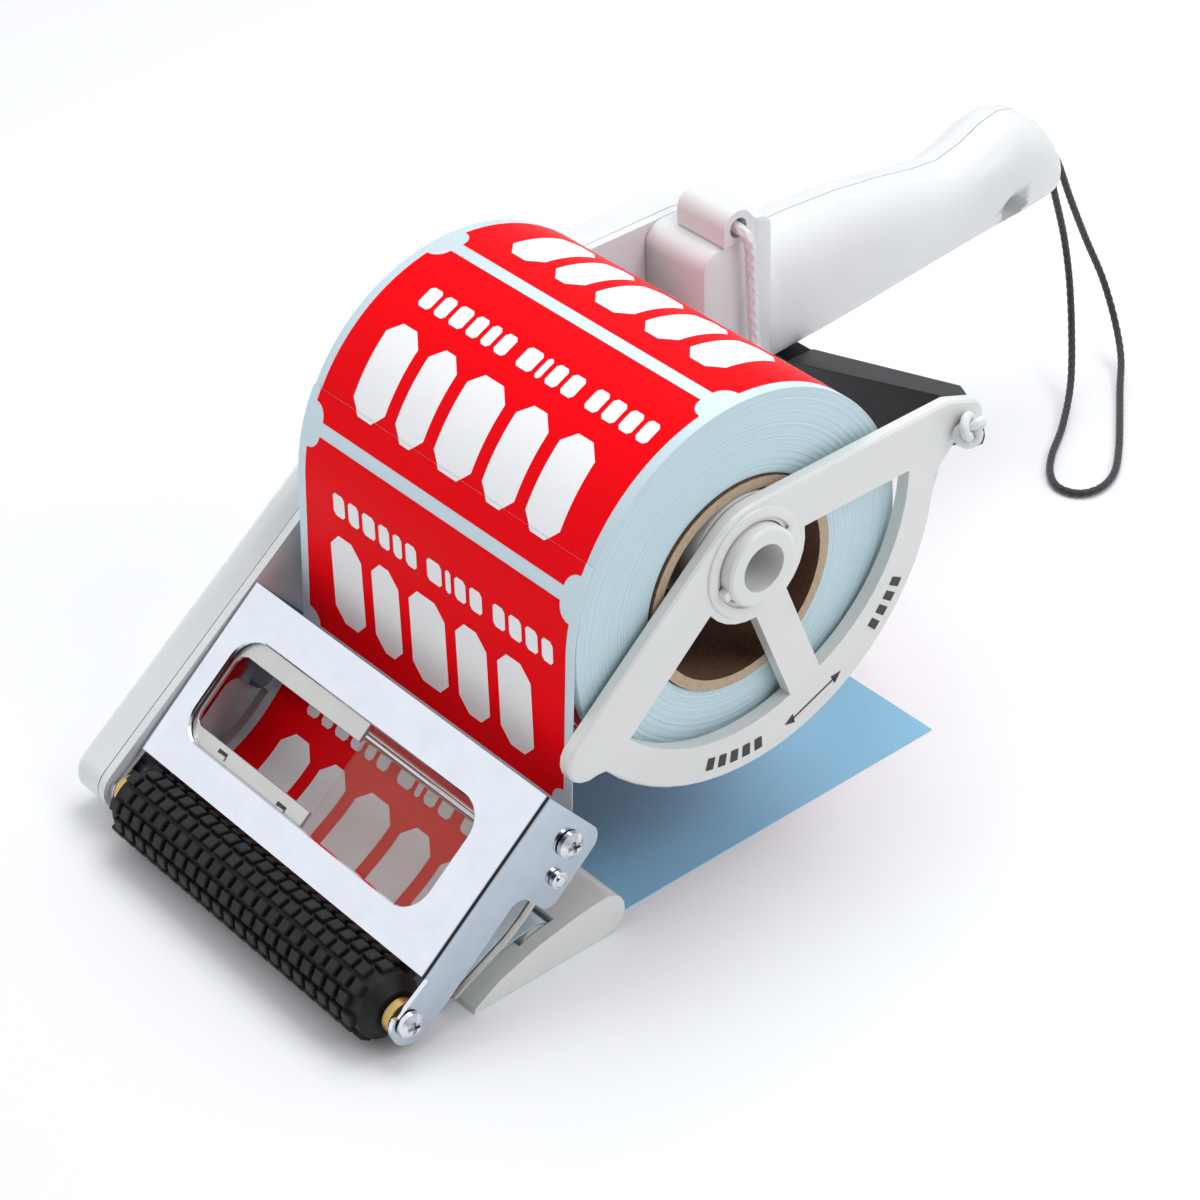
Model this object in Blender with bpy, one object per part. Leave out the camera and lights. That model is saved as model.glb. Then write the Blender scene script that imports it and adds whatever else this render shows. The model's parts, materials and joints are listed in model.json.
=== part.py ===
"""Hand-held roll label applicator: a moulded side body with a grip, a spindle that carries a wide
roll of labels, a chromed front frame with a window, a studded roller and a feed roller driven from
it by a gear train, a half-wheel roll holder with its leash, and a wrist cord.

Design coordinates are millimetres from the middle of the label roll's axis: X runs along that axis
to the free side, Y to the grip, Z up. world() turns them into the model's metres, whose origin is
the middle of the bounding box on the table.
"""

import math

import bmesh
import bpy
from mathutils import Matrix, Vector

MM = 0.001

# Label roll and what it hangs on
LINER_WIDTH = 106.0
ROLL_RADIUS = 50.3
CORE_RADIUS = 28.2
CORE_BORE = 25.4
SPINDLE_RADIUS = 16.3
SPINDLE_Z = CORE_BORE - SPINDLE_RADIUS - 0.3
STUB_RADIUS = 10.4
STUB_BORE = 6.2

# Levels and side planes
TABLE_Z = -79.5
BODY_OUTER_X = -72.5
PLATE_OUTER_X = -61.0
BODY_INNER_X = -58.5
STUB_END_X = 61.6

# Front frame: s runs down the face from its top edge, h goes into the device
FACE_TOP = (-63.8, -26.9)
FACE_ANGLE = math.radians(219.5)
FACE_LENGTH = 50.4
FACE_SHEET = 1.2
FRAME_LEFT_X = -57.9
FRAME_RIGHT_X = 58.2

# Rollers: (y, z) of each axis
ROLLER_AXIS = (-108.2, -69.2)
ROLLER_RADIUS = 10.3
FEED_RADIUS = 4.5
PINCH_RADIUS = 2.6
PRESS_AXIS = (-63.0, -51.5)
PRESS_RADIUS = 1.6

# Gear train from the studded roller to the feed roller
GEAR_MODULE = 0.4
GEAR_TEETH = (25, 31, 31, 26, 11)
GEAR_LINE = math.radians(-4.87)
TRAIN_LENGTH = GEAR_MODULE * sum(a + b for a, b in zip(GEAR_TEETH, GEAR_TEETH[1:])) / 2
FEED_AXIS = (
    ROLLER_AXIS[0] + TRAIN_LENGTH * math.cos(GEAR_LINE),
    ROLLER_AXIS[1] + TRAIN_LENGTH * math.sin(GEAR_LINE),
)
PINCH_AXIS = (FEED_AXIS[0] + FEED_RADIUS + PINCH_RADIUS + 3 * 0.3, FEED_AXIS[1])
GEAR_NAMES = ("roller_gear", "idler_gear_1", "idler_gear_2", "idler_gear_3", "feed_gear")
GEAR_X = (-68.2, -63.4)
POST_RADIUS = 1.4

# Sheet that carries the labels
SHEET = 0.3
PEEL_PLATE = 1.0
GAP = 0.3
LEAVE_ANGLE = 176.5
WEB_ROUTE = (
    (-53.25, -39.5),
    (-54.7, -44.8),
    (-57.9, -49.8),
    (-62.0, -53.7),
    (-66.3, -57.9),
    (-70.8, -62.0),
    (-75.6, -65.4),
    (-81.0, -68.2),
    (-86.6, -70.9),
    (-92.0, -73.7),
)

# Roll holder
HOLDER_X = (54.4, 58.0)
HOLDER_RIM = 59.7
HOLDER_RIM_INNER = (46.8, 50.5)
HOLDER_HUB = 16.3
MIDDLE_SPOKE = (-69.0, 5.15)
UPPER_SPOKE = 0.0
LOWER_SPOKE = -138.0
SPOKE_INNER_EDGE = 2.5

# Grip
GRIP_X = -51.0
GRIP_END_Y = 207.5

CENTRE_X = (BODY_OUTER_X + STUB_END_X) / 2
CENTRE_Y = (ROLLER_AXIS[0] - ROLLER_RADIUS + GRIP_END_Y) / 2


def world(x, y, z):
    return Vector(((x - CENTRE_X) * MM, (y - CENTRE_Y) * MM, (z - TABLE_Z) * MM))


def face_point(s, h):
    """(y, z) of a point s mm down the front frame's face and h mm under it."""
    down = (math.cos(FACE_ANGLE), math.sin(FACE_ANGLE))
    inward = (-down[1], down[0])
    return (
        FACE_TOP[0] + s * down[0] + h * inward[0],
        FACE_TOP[1] + s * down[1] + h * inward[1],
    )


# ---------------------------------------------------------------- materials


def material(name, colour, roughness, metallic=0.0, alpha=1.0):
    made = bpy.data.materials.new(name)
    made.use_nodes = True
    shader = made.node_tree.nodes["Principled BSDF"]
    shader.inputs["Base Color"].default_value = (*colour, 1.0)
    shader.inputs["Roughness"].default_value = roughness
    shader.inputs["Metallic"].default_value = metallic
    shader.inputs["Alpha"].default_value = alpha
    made.diffuse_color = (*colour, alpha)
    return made


def make_materials():
    return {
        "white": material("white_plastic", (0.88, 0.88, 0.86), 0.38),
        "grey": material("grey_plastic", (0.62, 0.64, 0.62), 0.45),
        "black": material("black_plastic", (0.02, 0.02, 0.02), 0.4),
        "chrome": material("chrome", (0.78, 0.79, 0.82), 0.08, 1.0),
        "steel": material("steel", (0.6, 0.6, 0.6), 0.3, 1.0),
        "brass": material("brass", (0.72, 0.52, 0.22), 0.3, 1.0),
        "rubber": material("black_rubber", (0.015, 0.015, 0.015), 0.7),
        "silicone": material("silicone_rubber", (0.6, 0.62, 0.6), 0.6),
        "clear": material("clear_guide", (0.6, 0.5, 0.42), 0.08, 0.0, 0.35),
        "labels": material("label_stock", (0.8, 0.03, 0.04), 0.35),
        "liner": material("liner_paper", (0.66, 0.8, 0.88), 0.45),
        "board": material("core_board", (0.34, 0.2, 0.12), 0.85),
        "white_cord": material("white_cord", (0.85, 0.85, 0.83), 0.7),
        "black_cord": material("black_cord", (0.02, 0.02, 0.02), 0.7),
    }


# ---------------------------------------------------------------- shapes


def object_from(name, mesh_builder, made_of, pivot):
    """Turns a bmesh in design millimetres into an object whose origin is at pivot."""
    bmesh.ops.recalc_face_normals(mesh_builder, faces=mesh_builder.faces)
    base = world(*pivot)
    for vertex in mesh_builder.verts:
        vertex.co = world(*vertex.co) - base
    mesh = bpy.data.meshes.new(name)
    mesh_builder.to_mesh(mesh)
    mesh_builder.free()
    mesh.shade_smooth()
    mesh.set_sharp_from_angle(angle=math.radians(32))
    made = bpy.data.objects.new(name, mesh)
    made.location = base
    if made_of is not None:
        mesh.materials.append(made_of)
    bpy.context.scene.collection.objects.link(made)
    return made


def loft(name, loops, made_of, pivot=(0, 0, 0)):
    """Skin through closed loops of equal length, capped at both ends."""
    bm = bmesh.new()
    rings = [[bm.verts.new(point) for point in loop] for loop in loops]
    count = len(loops[0])
    for ring, following in zip(rings, rings[1:]):
        for i in range(count):
            j = (i + 1) % count
            bm.faces.new((ring[i], ring[j], following[j], following[i]))
    bm.faces.new(rings[0])
    bm.faces.new(rings[-1])
    return object_from(name, bm, made_of, pivot)


def prism(name, outline, x0, x1, made_of, pivot=(0, 0, 0)):
    """Outline of (y, z) points extruded from x0 to x1."""
    return loft(name, [[(x, y, z) for y, z in outline] for x in (x0, x1)], made_of, pivot)


def inset_outline(outline, amount):
    """Each corner moved inwards along the mean of its two edge normals; the outline runs anticlockwise."""
    moved = []
    count = len(outline)
    for i, (y, z) in enumerate(outline):
        before, after = outline[i - 1], outline[(i + 1) % count]
        first = Vector((y - before[0], z - before[1])).normalized()
        second = Vector((after[0] - y, after[1] - z)).normalized()
        inward = Vector((-first.y - second.y, first.x + second.x)).normalized()
        stretch = 1 / max(0.5, inward.dot(Vector((-first.y, first.x))))
        moved.append((y + inward.x * amount * stretch, z + inward.y * amount * stretch))
    return moved


def pillow(name, outline, stations, made_of, pivot=(0, 0, 0)):
    """Extrusion with eased rims: stations are (x, how far the outline is inset there)."""
    loops = [[(x, y, z) for y, z in inset_outline(outline, amount)] for x, amount in stations]
    return loft(name, loops, made_of, pivot)


def turned(name, profile, axis, made_of, segments=32, pivot=None):
    """Profile of (x, radius) points spun about the line through axis = (y, z), parallel to X.

    A profile that starts and ends on the axis makes a solid of revolution, and any other a ring.
    """
    bm = bmesh.new()
    solid = profile[0][1] == 0
    rings = []
    for x, radius in profile:
        if radius == 0:
            rings.append([bm.verts.new((x, *axis))])
            continue
        ring = []
        for i in range(segments):
            angle = 2 * math.pi * i / segments
            place = (x, axis[0] + radius * math.cos(angle), axis[1] + radius * math.sin(angle))
            ring.append(bm.verts.new(place))
        rings.append(ring)
    pairs = list(zip(rings, rings[1:]))
    if not solid:
        pairs.append((rings[-1], rings[0]))
    for ring, following in pairs:
        for i in range(segments):
            j = (i + 1) % segments
            corners = [ring[i % len(ring)], ring[j % len(ring)]]
            corners += [following[j % len(following)], following[i % len(following)]]
            bm.faces.new(list(dict.fromkeys(corners)))
    return object_from(name, bm, made_of, pivot or (0, *axis))


def ring(name, x0, x1, outer, bore, axis, made_of, segments=32):
    profile = [(x0, outer), (x1, outer), (x1, bore), (x0, bore)]
    return turned(name, profile, axis, made_of, segments)


def rod(name, steps, axis, made_of, segments=24):
    """Stepped shaft: steps are (x0, x1, radius) end to end."""
    profile = [(steps[0][0], 0)]
    for x0, x1, radius in steps:
        profile += [(x0, radius), (x1, radius)]
    profile.append((steps[-1][1], 0))
    return turned(name, profile, axis, made_of, segments)


def arc(centre, radius, start, end, count):
    """Points on a circle from one angle to another, in degrees, both ends included."""
    points = []
    for i in range(count):
        angle = math.radians(start + (end - start) * i / (count - 1))
        points.append((centre[0] + radius * math.cos(angle), centre[1] + radius * math.sin(angle)))
    return points


def join(target, tool, operation):
    """Boolean of target with tool, which is kept as a hidden guide."""
    tool.hide_render = True
    tool.display_type = "WIRE"
    tool.hide_set(True)
    modifier = target.modifiers.new(tool.name, "BOOLEAN")
    modifier.operation = operation
    modifier.solver = "EXACT"
    modifier.object = tool


def drill(target, axis, radius, x0, x1, segments=20):
    """Round hole along X."""
    cutter = rod(f"cut_{target.name}_{len(target.modifiers)}", [(x0, x1, radius)], axis, None, segments)
    join(target, cutter, "DIFFERENCE")


def cut_prism(target, outline, x0, x1):
    cutter = prism(f"cut_{target.name}_{len(target.modifiers)}", outline, x0, x1, None)
    join(target, cutter, "DIFFERENCE")


# ---------------------------------------------------------------- body and grip

NOSE_RADIUS = 6.5
BODY_TOP_Z = 23.3
BODY_REAR_Y = 96.0


def body_outline():
    """Side view of the body: round nose at the roller, straight slope, level top, round tail."""
    nose = (-107.9, -69.6)
    slope = 90 + 37.2
    foot = 3.0
    points = [(-40.0, TABLE_Z), (86.0 - foot, TABLE_Z)]
    points += arc((86.0 - foot, TABLE_Z + foot), foot, -70, -8, 3)
    points += arc((BODY_REAR_Y - 17.0, BODY_TOP_Z - 17.0), 17.0, 0, 90, 7)
    points += arc((10.3, BODY_TOP_Z - 20.0), 20.0, 90, slope, 4)
    points += arc(nose, NOSE_RADIUS, slope, 236, 7)
    points.append((-104.0, TABLE_Z))
    return points


def gear_centres():
    """Axes of the train's gears, in line from the studded roller to the feed roller."""
    start, end = Vector(ROLLER_AXIS), Vector(FEED_AXIS)
    along = (end - start).normalized()
    centres, travelled = [start], 0.0
    for first, second in zip(GEAR_TEETH, GEAR_TEETH[1:]):
        travelled += GEAR_MODULE * (first + second) / 2
        centres.append(start + along * travelled)
    return centres


def make_body(mats):
    outline = body_outline()
    rim = [(-61.3, 0), (-70.0, 0), (-71.6, 0.9), (BODY_OUTER_X, 2.6)]
    shell = pillow("body_shell", outline, rim, mats["white"])
    case = [(-62.0, -78.0), (-62.0, -64.0), (-104.0, -61.5)]
    case += arc(ROLLER_AXIS, 5.9, 120, 250, 7) + [(-104.0, -77.6)]
    cut_prism(shell, case, -69.0, -60.0)
    for number, centre in enumerate(gear_centres()[1:4], 1):
        post = rod(f"post_{number}", [(-69.6, -62.6, POST_RADIUS)], centre, None, 12)
        join(shell, post, "UNION")
    plate = prism("body_plate", outline, PLATE_OUTER_X, BODY_INNER_X, mats["white"])
    drill(plate, ROLLER_AXIS, 3.2, -63, -57)
    drill(plate, FEED_AXIS, 2.5, -63, -57)
    screw_places = ((-46.0, -66.0), (-14.0, -8.0), (70.0, -62.0), (75.0, 5.0))
    for number, place in enumerate(screw_places, 1):
        pan_screw(f"body_screw_{number}", place, BODY_OUTER_X + 0.3, -1, 3.0, mats["steel"], 11.0)
        drill(shell, place, 3.3, BODY_OUTER_X - 1, BODY_OUTER_X + 2.3)
        drill(shell, place, 1.8, BODY_OUTER_X + 1, PLATE_OUTER_X + 1)
        drill(plate, place, 1.6, PLATE_OUTER_X - 1, BODY_INNER_X + 1)
    drill(plate, HUB, 1.6, PLATE_OUTER_X - 1, BODY_INNER_X + 1)


def pan_screw(name, axis, x_head, facing, radius, made_of, shank=4.0):
    """Pan-head screw whose head's outer face is at x_head, with a cross recess cut in it."""
    height = radius * 0.6
    base = x_head - facing * height
    tip = base - facing * shank
    profile = [(tip, 0), (tip, radius * 0.42), (base, radius * 0.42), (base, radius)]
    profile += [(x_head - facing * height * 0.45, radius * 0.97), (x_head, radius * 0.6), (x_head, 0)]
    screw = turned(name, profile, axis, made_of, 20)
    y, z = axis
    arm, half, deep = radius * 0.5, radius * 0.11, radius * 0.3
    cross = [(y - arm, z - half), (y - half, z - half), (y - half, z - arm), (y + half, z - arm)]
    cross += [(y + half, z - half), (y + arm, z - half), (y + arm, z + half), (y + half, z + half)]
    cross += [(y + half, z + arm), (y - half, z + arm), (y - half, z + half), (y - arm, z + half)]
    low, high = sorted((x_head - facing * deep, x_head + facing))
    cut_prism(screw, cross, low, high)
    return screw


# y, top z, bottom z and half width of the grip
GRIP_STATIONS = (
    (88.0, 14.0, -22.9, 14.6),
    (97.0, 14.5, -22.4, 14.9),
    (112.0, 14.2, -21.5, 15.0),
    (128.0, 13.2, -20.2, 14.8),
    (144.0, 11.2, -18.8, 14.3),
    (158.0, 8.6, -17.6, 13.8),
    (168.0, 7.6, -16.7, 13.6),
    (177.0, 9.6, -15.9, 13.9),
    (185.0, 13.0, -15.2, 14.5),
    (192.0, 14.3, -14.6, 14.7),
    (198.0, 12.8, -14.1, 14.4),
    (203.0, 9.0, -13.6, 13.6),
    (206.2, 4.4, -12.9, 12.2),
    (GRIP_END_Y, 0.5, -11.5, 10.4),
)


def grip_half(top, bottom, half_width, side, y):
    """Half of the grip's section: round above, flatter with small corners below."""
    middle = (top + bottom) / 2 - 1.0
    parting = GRIP_X + side * GAP / 2
    points = []
    for i in range(13):
        angle = math.pi * i / 12
        power = 0.85 if angle < math.pi / 2 else 0.5
        across = half_width * abs(math.sin(angle)) ** power
        rise = abs(math.cos(angle)) ** (1.0 if angle < math.pi / 2 else 0.6)
        z = middle + (top - middle) * rise if angle < math.pi / 2 else middle - (middle - bottom) * rise
        x = GRIP_X + side * across
        points.append((parting if i in (0, 12) else x, y, z))
    return points


def shoulder_outline():
    """Side view of the block where the grip meets the body, with the hump behind the leash guide."""
    front, level, back = 67.5, BODY_TOP_Z, 92.0
    points = [(front, -21.5), (back, -22.2), (back, 18.0)]
    points += arc((87.6, 23.6), 4.4, 0, 90, 5)
    points += [(85.2, 28.0), (84.6, level)]
    points += arc((front + 6.0, level - 6.0), 6.0, 90, 180, 5)
    return points


def make_grip(mats):
    near_loops = [grip_half(t, b, w, 1, y) for y, t, b, w in GRIP_STATIONS]
    near = loft("grip_near_half", near_loops, mats["white"])
    rim = [(-58.2, 0), (-37.2, 0), (-35.6, 0.5), (-35.0, 1.7)]
    block = pillow("shoulder_guide", shoulder_outline(), rim, None)
    join(near, block, "UNION")
    far_start = BODY_REAR_Y + 0.5
    blend = (far_start - 88.0) / (97.0 - 88.0)
    first = tuple(a + (b - a) * blend for a, b in zip(GRIP_STATIONS[0], GRIP_STATIONS[1]))
    far_loops = [grip_half(t, b, w, -1, y) for y, t, b, w in (first, *GRIP_STATIONS[1:])]
    far = loft("grip_far_half", far_loops, mats["white"])
    drill(near, (185.3, -8.6), 4.5, -47.0, -30.0, 20)
    for number, place in enumerate(((118.0, -4.0), (176.0, -4.0)), 1):
        drill(far, place, 3.3, -70.0, -61.1)
        drill(far, place, 1.6, -63.0, GRIP_X)
        drill(near, place, 1.6, GRIP_X - 1, -43.0)
        pan_screw(f"grip_screw_{number}", place, -63.1, -1, 2.9, mats["steel"], 17.0)


def make_leash_guide(mats):
    """Arched tunnel on the shoulder that the leash runs through."""
    base, middle = BODY_TOP_Z + GAP, 79.2
    outer = [(middle + 4.9, base)] + arc((middle, 28.0), 4.9, 0, 180, 11) + [(middle - 4.9, base)]
    saddle = prism("leash_guide", outer, -53.0, -34.6, mats["white"])
    tunnel = arc((middle, 27.9), 2.9, 0, 330, 12)
    cut_prism(saddle, tunnel, -60.0, -30.0)


# ---------------------------------------------------------------- spindle, roll and holder

HUB = (0.0, SPINDLE_Z)
LEASH_HOLE = (68.0, 16.6)


def make_spindle(mats):
    flange, bore, root, floor = 21.0, STUB_BORE, BODY_INNER_X + GAP, -53.0
    shoulder = HOLDER_X[0] - GAP
    profile = [(root, 0), (root, flange), (-55.2, flange), (-55.2, SPINDLE_RADIUS)]
    profile += [(shoulder, SPINDLE_RADIUS), (shoulder, STUB_RADIUS), (STUB_END_X - 0.6, STUB_RADIUS)]
    profile += [(STUB_END_X, STUB_RADIUS - 0.7), (STUB_END_X, bore), (floor, bore), (floor, 0)]
    spindle = turned("spindle", profile, HUB, mats["white"], 40)
    drill(spindle, HUB, 1.6, root - 1, floor + 1, 16)
    for number, angle in enumerate((20, 200), 1):
        away = Vector((math.cos(math.radians(angle)), math.sin(math.radians(angle))))
        across = Vector((-away.y, away.x))
        middle = Vector(HUB)
        corners = [(8.6, -1.6), (11.9, -1.3), (11.9, 1.3), (8.6, 1.6)]
        lug = [tuple(middle + away * r + across * w) for r, w in corners]
        join(spindle, prism(f"lug_{number}", lug, 58.5, 60.6, None), "UNION")
    ring("roll_flange", -54.9, -53.4, 34.0, SPINDLE_RADIUS + GAP, HUB, mats["black"], 40)
    pan_screw("spindle_screw", HUB, floor + GAP + 1.8, 1, 3.0, mats["steel"], 7.0)


def make_roll(mats):
    half = LINER_WIDTH / 2
    ring("roll_core", -half - 0.1, half + 0.6, CORE_RADIUS, CORE_BORE, (0, 0), mats["board"], 48)
    ring("label_roll", -half + 0.2, half, ROLL_RADIUS, CORE_RADIUS + GAP, (0, 0), mats["labels"], 64)


def hub_point(direction, along, offset):
    """Point that far along a direction from the hub, and offset to its left."""
    cosine, sine = math.cos(math.radians(direction)), math.sin(math.radians(direction))
    return (HUB[0] + along * cosine - offset * sine, HUB[1] + along * sine + offset * cosine)


def edge_angle(direction, offset, radius):
    """Where a line parallel to a direction, offset to its left, crosses a circle about the hub."""
    return direction + math.degrees(math.asin(offset / radius))


def window(start, end, start_rim, end_rim):
    """Opening between two spoke edges, each a (direction, offset), under a rim of changing radius."""
    points, steps = [], 12
    first, last = edge_angle(*start, start_rim), edge_angle(*end, end_rim)
    for i in range(steps + 1):
        share = i / steps
        radius = start_rim + (end_rim - start_rim) * share
        angle = math.radians(first + (last - first) * share)
        points.append((HUB[0] + radius * math.cos(angle), HUB[1] + radius * math.sin(angle)))
    hub_start, hub_end = (edge_angle(*edge, HOLDER_HUB) for edge in (start, end))
    return points + arc(HUB, HOLDER_HUB, hub_end, hub_start, 6)


def make_holder(mats):
    """Half wheel with three spokes that keeps the roll on the spindle."""
    outline = arc(HUB, HOLDER_RIM, -140.6, -2.5, 25)
    outline.append(hub_point(UPPER_SPOKE, 66.0, 3.4))
    outline += arc(hub_point(UPPER_SPOKE, 69.3, 7.9), 6.2, -80, 50, 7)
    outline.append(hub_point(UPPER_SPOKE, 63.5, HOLDER_HUB))
    outline += arc(HUB, HOLDER_HUB, UPPER_SPOKE + 90, LOWER_SPOKE + 270, 5)
    outline.append(hub_point(LOWER_SPOKE, 58.0, -17.6))
    tip = hub_point(LOWER_SPOKE, 58.8, -11.0)
    outline += arc(tip, 6.7, LOWER_SPOKE + 280, LOWER_SPOKE + 425, 8)
    rim = [(HOLDER_X[0], 0.5), (HOLDER_X[0] + 0.5, 0), (HOLDER_X[1] - 0.6, 0), (HOLDER_X[1], 0.6)]
    holder = pillow("roll_holder", outline, rim, mats["white"], (HOLDER_X[0], *HUB))
    direction, half = MIDDLE_SPOKE
    narrow, wide = HOLDER_RIM_INNER
    before = window((LOWER_SPOKE, -SPOKE_INNER_EDGE), (direction, -half), wide, narrow)
    after = window((direction, half), (UPPER_SPOKE, SPOKE_INNER_EDGE), narrow, wide)
    for opening in (before, after):
        cut_prism(holder, opening, HOLDER_X[0] - 1, HOLDER_X[1] + 1)
    drill(holder, HUB, STUB_RADIUS + 0.35, HOLDER_X[0] - 1, HOLDER_X[1] + 1, 40)
    drill(holder, LEASH_HOLE, 2.1, HOLDER_X[0] - 1, HOLDER_X[1] + 1, 12)


# ---------------------------------------------------------------- front frame and label path


def flange_outline():
    """Side flange of the front frame, from (s, h) points: ear at the top, strip to the roller."""
    points = [(0.0, 0.0), (FACE_LENGTH, 0.0), (61.4, 0.9)]
    points += arc((60.9, 5.7), 5.9, -78, 78, 7)
    points += [(53.0, 12.2), (27.5, 11.9)]
    points += arc((27.0, 16.4), 4.5, 268, 205, 4)
    points += arc((19.2, 21.2), 3.7, 8, 96, 4)
    points += arc((4.6, 20.0), 4.6, 96, 176, 4)
    return [face_point(s, h) for s, h in points]


def make_front_frame(mats):
    outline = flange_outline()
    frame = prism("front_frame", outline, FRAME_RIGHT_X - FACE_SHEET, FRAME_RIGHT_X, mats["chrome"])
    left = prism("left_flange_guide", outline, FRAME_LEFT_X, FRAME_LEFT_X + FACE_SHEET, None)
    edge = 0.05
    corners = ((edge, edge), (FACE_LENGTH - edge, edge), (FACE_LENGTH - edge, FACE_SHEET), (edge, FACE_SHEET))
    sheet = [face_point(s, h) for s, h in corners]
    face = prism("face_guide", sheet, FRAME_LEFT_X + 0.05, FRAME_RIGHT_X - 0.05, None)
    join(frame, face, "UNION")
    join(frame, left, "UNION")
    cut_window(frame)
    drill(frame, face_point(6.6, 15.5), 2.0, -60, 60)
    drill(frame, PRESS_AXIS, PRESS_RADIUS + GAP, -60, 60)
    drill(frame, ROLLER_AXIS, 2.5, -60, 60)
    near_screw, far_screw = face_point(6.6, 15.5), face_point(6.6, 15.5)
    pan_screw("frame_screw_near", near_screw, FRAME_RIGHT_X + GAP + 2.2, 1, 3.6, mats["chrome"], 3.0)
    far_base = FRAME_LEFT_X + FACE_SHEET + GAP + 2.2
    pan_screw("frame_screw_far", far_screw, far_base, 1, 3.6, mats["chrome"], 0.9)


def cut_window(frame):
    """Rounded window through the face: s from 11.2 to 41.2, x from -49.6 to 44.6."""
    s_low, s_high, x_low, x_high, radius = 11.2, 41.2, -49.6, 44.6, 7.5
    outline = []
    turns = ((x_high, s_high, -1, -1, 0), (x_low, s_high, 1, -1, 90), (x_low, s_low, 1, 1, 180))
    for x, s, dx, ds, start in (*turns, (x_high, s_low, -1, 1, 270)):
        outline += arc((x + dx * radius, s + ds * radius), radius, start, start + 90, 5)
    loops = [[(x, *face_point(s, h)) for x, s in outline] for h in (-2.0, 3.0)]
    join(frame, loft("window_cutter", loops, None), "DIFFERENCE")


def face_plate(name, outline, h0, h1, made_of):
    """Flat piece parallel to the face: outline of (x, s), from depth h0 to h1."""
    loops = [[(x, *face_point(s, h)) for x, s in outline] for h in (h0, h1)]
    return loft(name, loops, made_of)


def make_label_guides(mats):
    left = arc((-45.0, 17.0), 6.5, 180, 270, 4)
    outer = [(-0.4, 10.5), (-0.4, 16.4), (-46.0, 16.4)]
    inner = arc((-46.0, 19.4), 3.0, 270, 180, 3) + arc((-46.0, 34.0), 3.0, 180, 90, 3)
    outer += inner + [(-0.4, 37.0), (-0.4, 44.6)] + arc((-45.0, 38.1), 6.5, 90, 180, 4) + left
    face_plate("label_guide", outer, 1.6, 2.8, mats["steel"])
    clear = [(0.4, 5.0), (53.0, 5.0), (53.0, 46.0), (0.4, 46.0)]
    face_plate("clear_guide", clear, 1.7, 2.7, mats["clear"])
    rivet_outline = arc((27.8, 14.6), 2.1, 0, 330, 12)
    face_plate("guide_rivet", rivet_outline, 0.5, 1.4, mats["brass"])


def sheet_along(name, centre_line, thickness, span, made_of):
    """Sheet across the tool: a centre line of (y, z) points given a thickness."""
    sides = ([], [])
    for i, point in enumerate(centre_line):
        before = Vector(centre_line[max(0, i - 1)])
        after = Vector(centre_line[min(len(centre_line) - 1, i + 1)])
        way = (after - before).normalized()
        across = Vector((-way.y, way.x)) * thickness / 2
        sides[0].append(tuple(Vector(point) + across))
        sides[1].append(tuple(Vector(point) - across))
    return prism(name, sides[0] + sides[1][::-1], *span, made_of)


def offset_below(line, distance):
    """The line moved to the side that faces the table."""
    moved = []
    for i, point in enumerate(line):
        way = Vector(line[min(i + 1, len(line) - 1)]) - Vector(line[max(i - 1, 0)])
        way.normalize()
        moved.append((point[0] - way.y * distance, point[1] + way.x * distance))
    return moved


def tangent_angle(point, centre, radius):
    """Where a line from the point touches the upper side of a circle, in degrees."""
    reach = Vector(point) - Vector(centre)
    towards = math.degrees(math.atan2(reach.y, reach.x)) % 360
    return towards - math.degrees(math.acos(radius / reach.length))


def make_label_path(mats):
    """The liner leaves the roll, slides down the peel plate, turns at its edge and goes back."""
    lift = ROLL_RADIUS + GAP + SHEET / 2
    half = LINER_WIDTH / 2
    to_plate = SHEET / 2 + GAP + PEEL_PLATE / 2
    leaves = arc((0, 0), lift, 150.0, LEAVE_ANGLE, 6)
    web = list(WEB_ROUTE)
    below = offset_below(web, to_plate)
    sheet_along("peel_plate", below[4:], PEEL_PLATE, (-56.0, 54.4), mats["steel"])
    heading = math.degrees(math.atan2(web[-1][1] - below[-1][1], web[-1][0] - below[-1][0]))
    turn = arc(below[-1], to_plate, heading, heading + 180, 6)
    back = offset_below(web, 2 * to_plate)[7:-1][::-1]
    wrap = FEED_RADIUS + GAP + SHEET / 2
    over = arc(FEED_AXIS, wrap, tangent_angle(back[-1], FEED_AXIS, wrap), 0, 9)
    falls = over[-1][0]
    line = leaves + web[:-1] + turn + back + over + [(falls, -77.6)]
    sheet_along("label_web", line, SHEET, (-half, half), mats["liner"])
    level = TABLE_Z + SHEET / 2 + 0.02
    bend = 1.4
    curve = arc((falls + bend, level + bend), bend, 192, 270, 4)
    tail = curve + [(20.0, level), (66.5, level)]
    sheet_along("spent_liner", tail, SHEET, (-half, half), mats["liner"])


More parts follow.
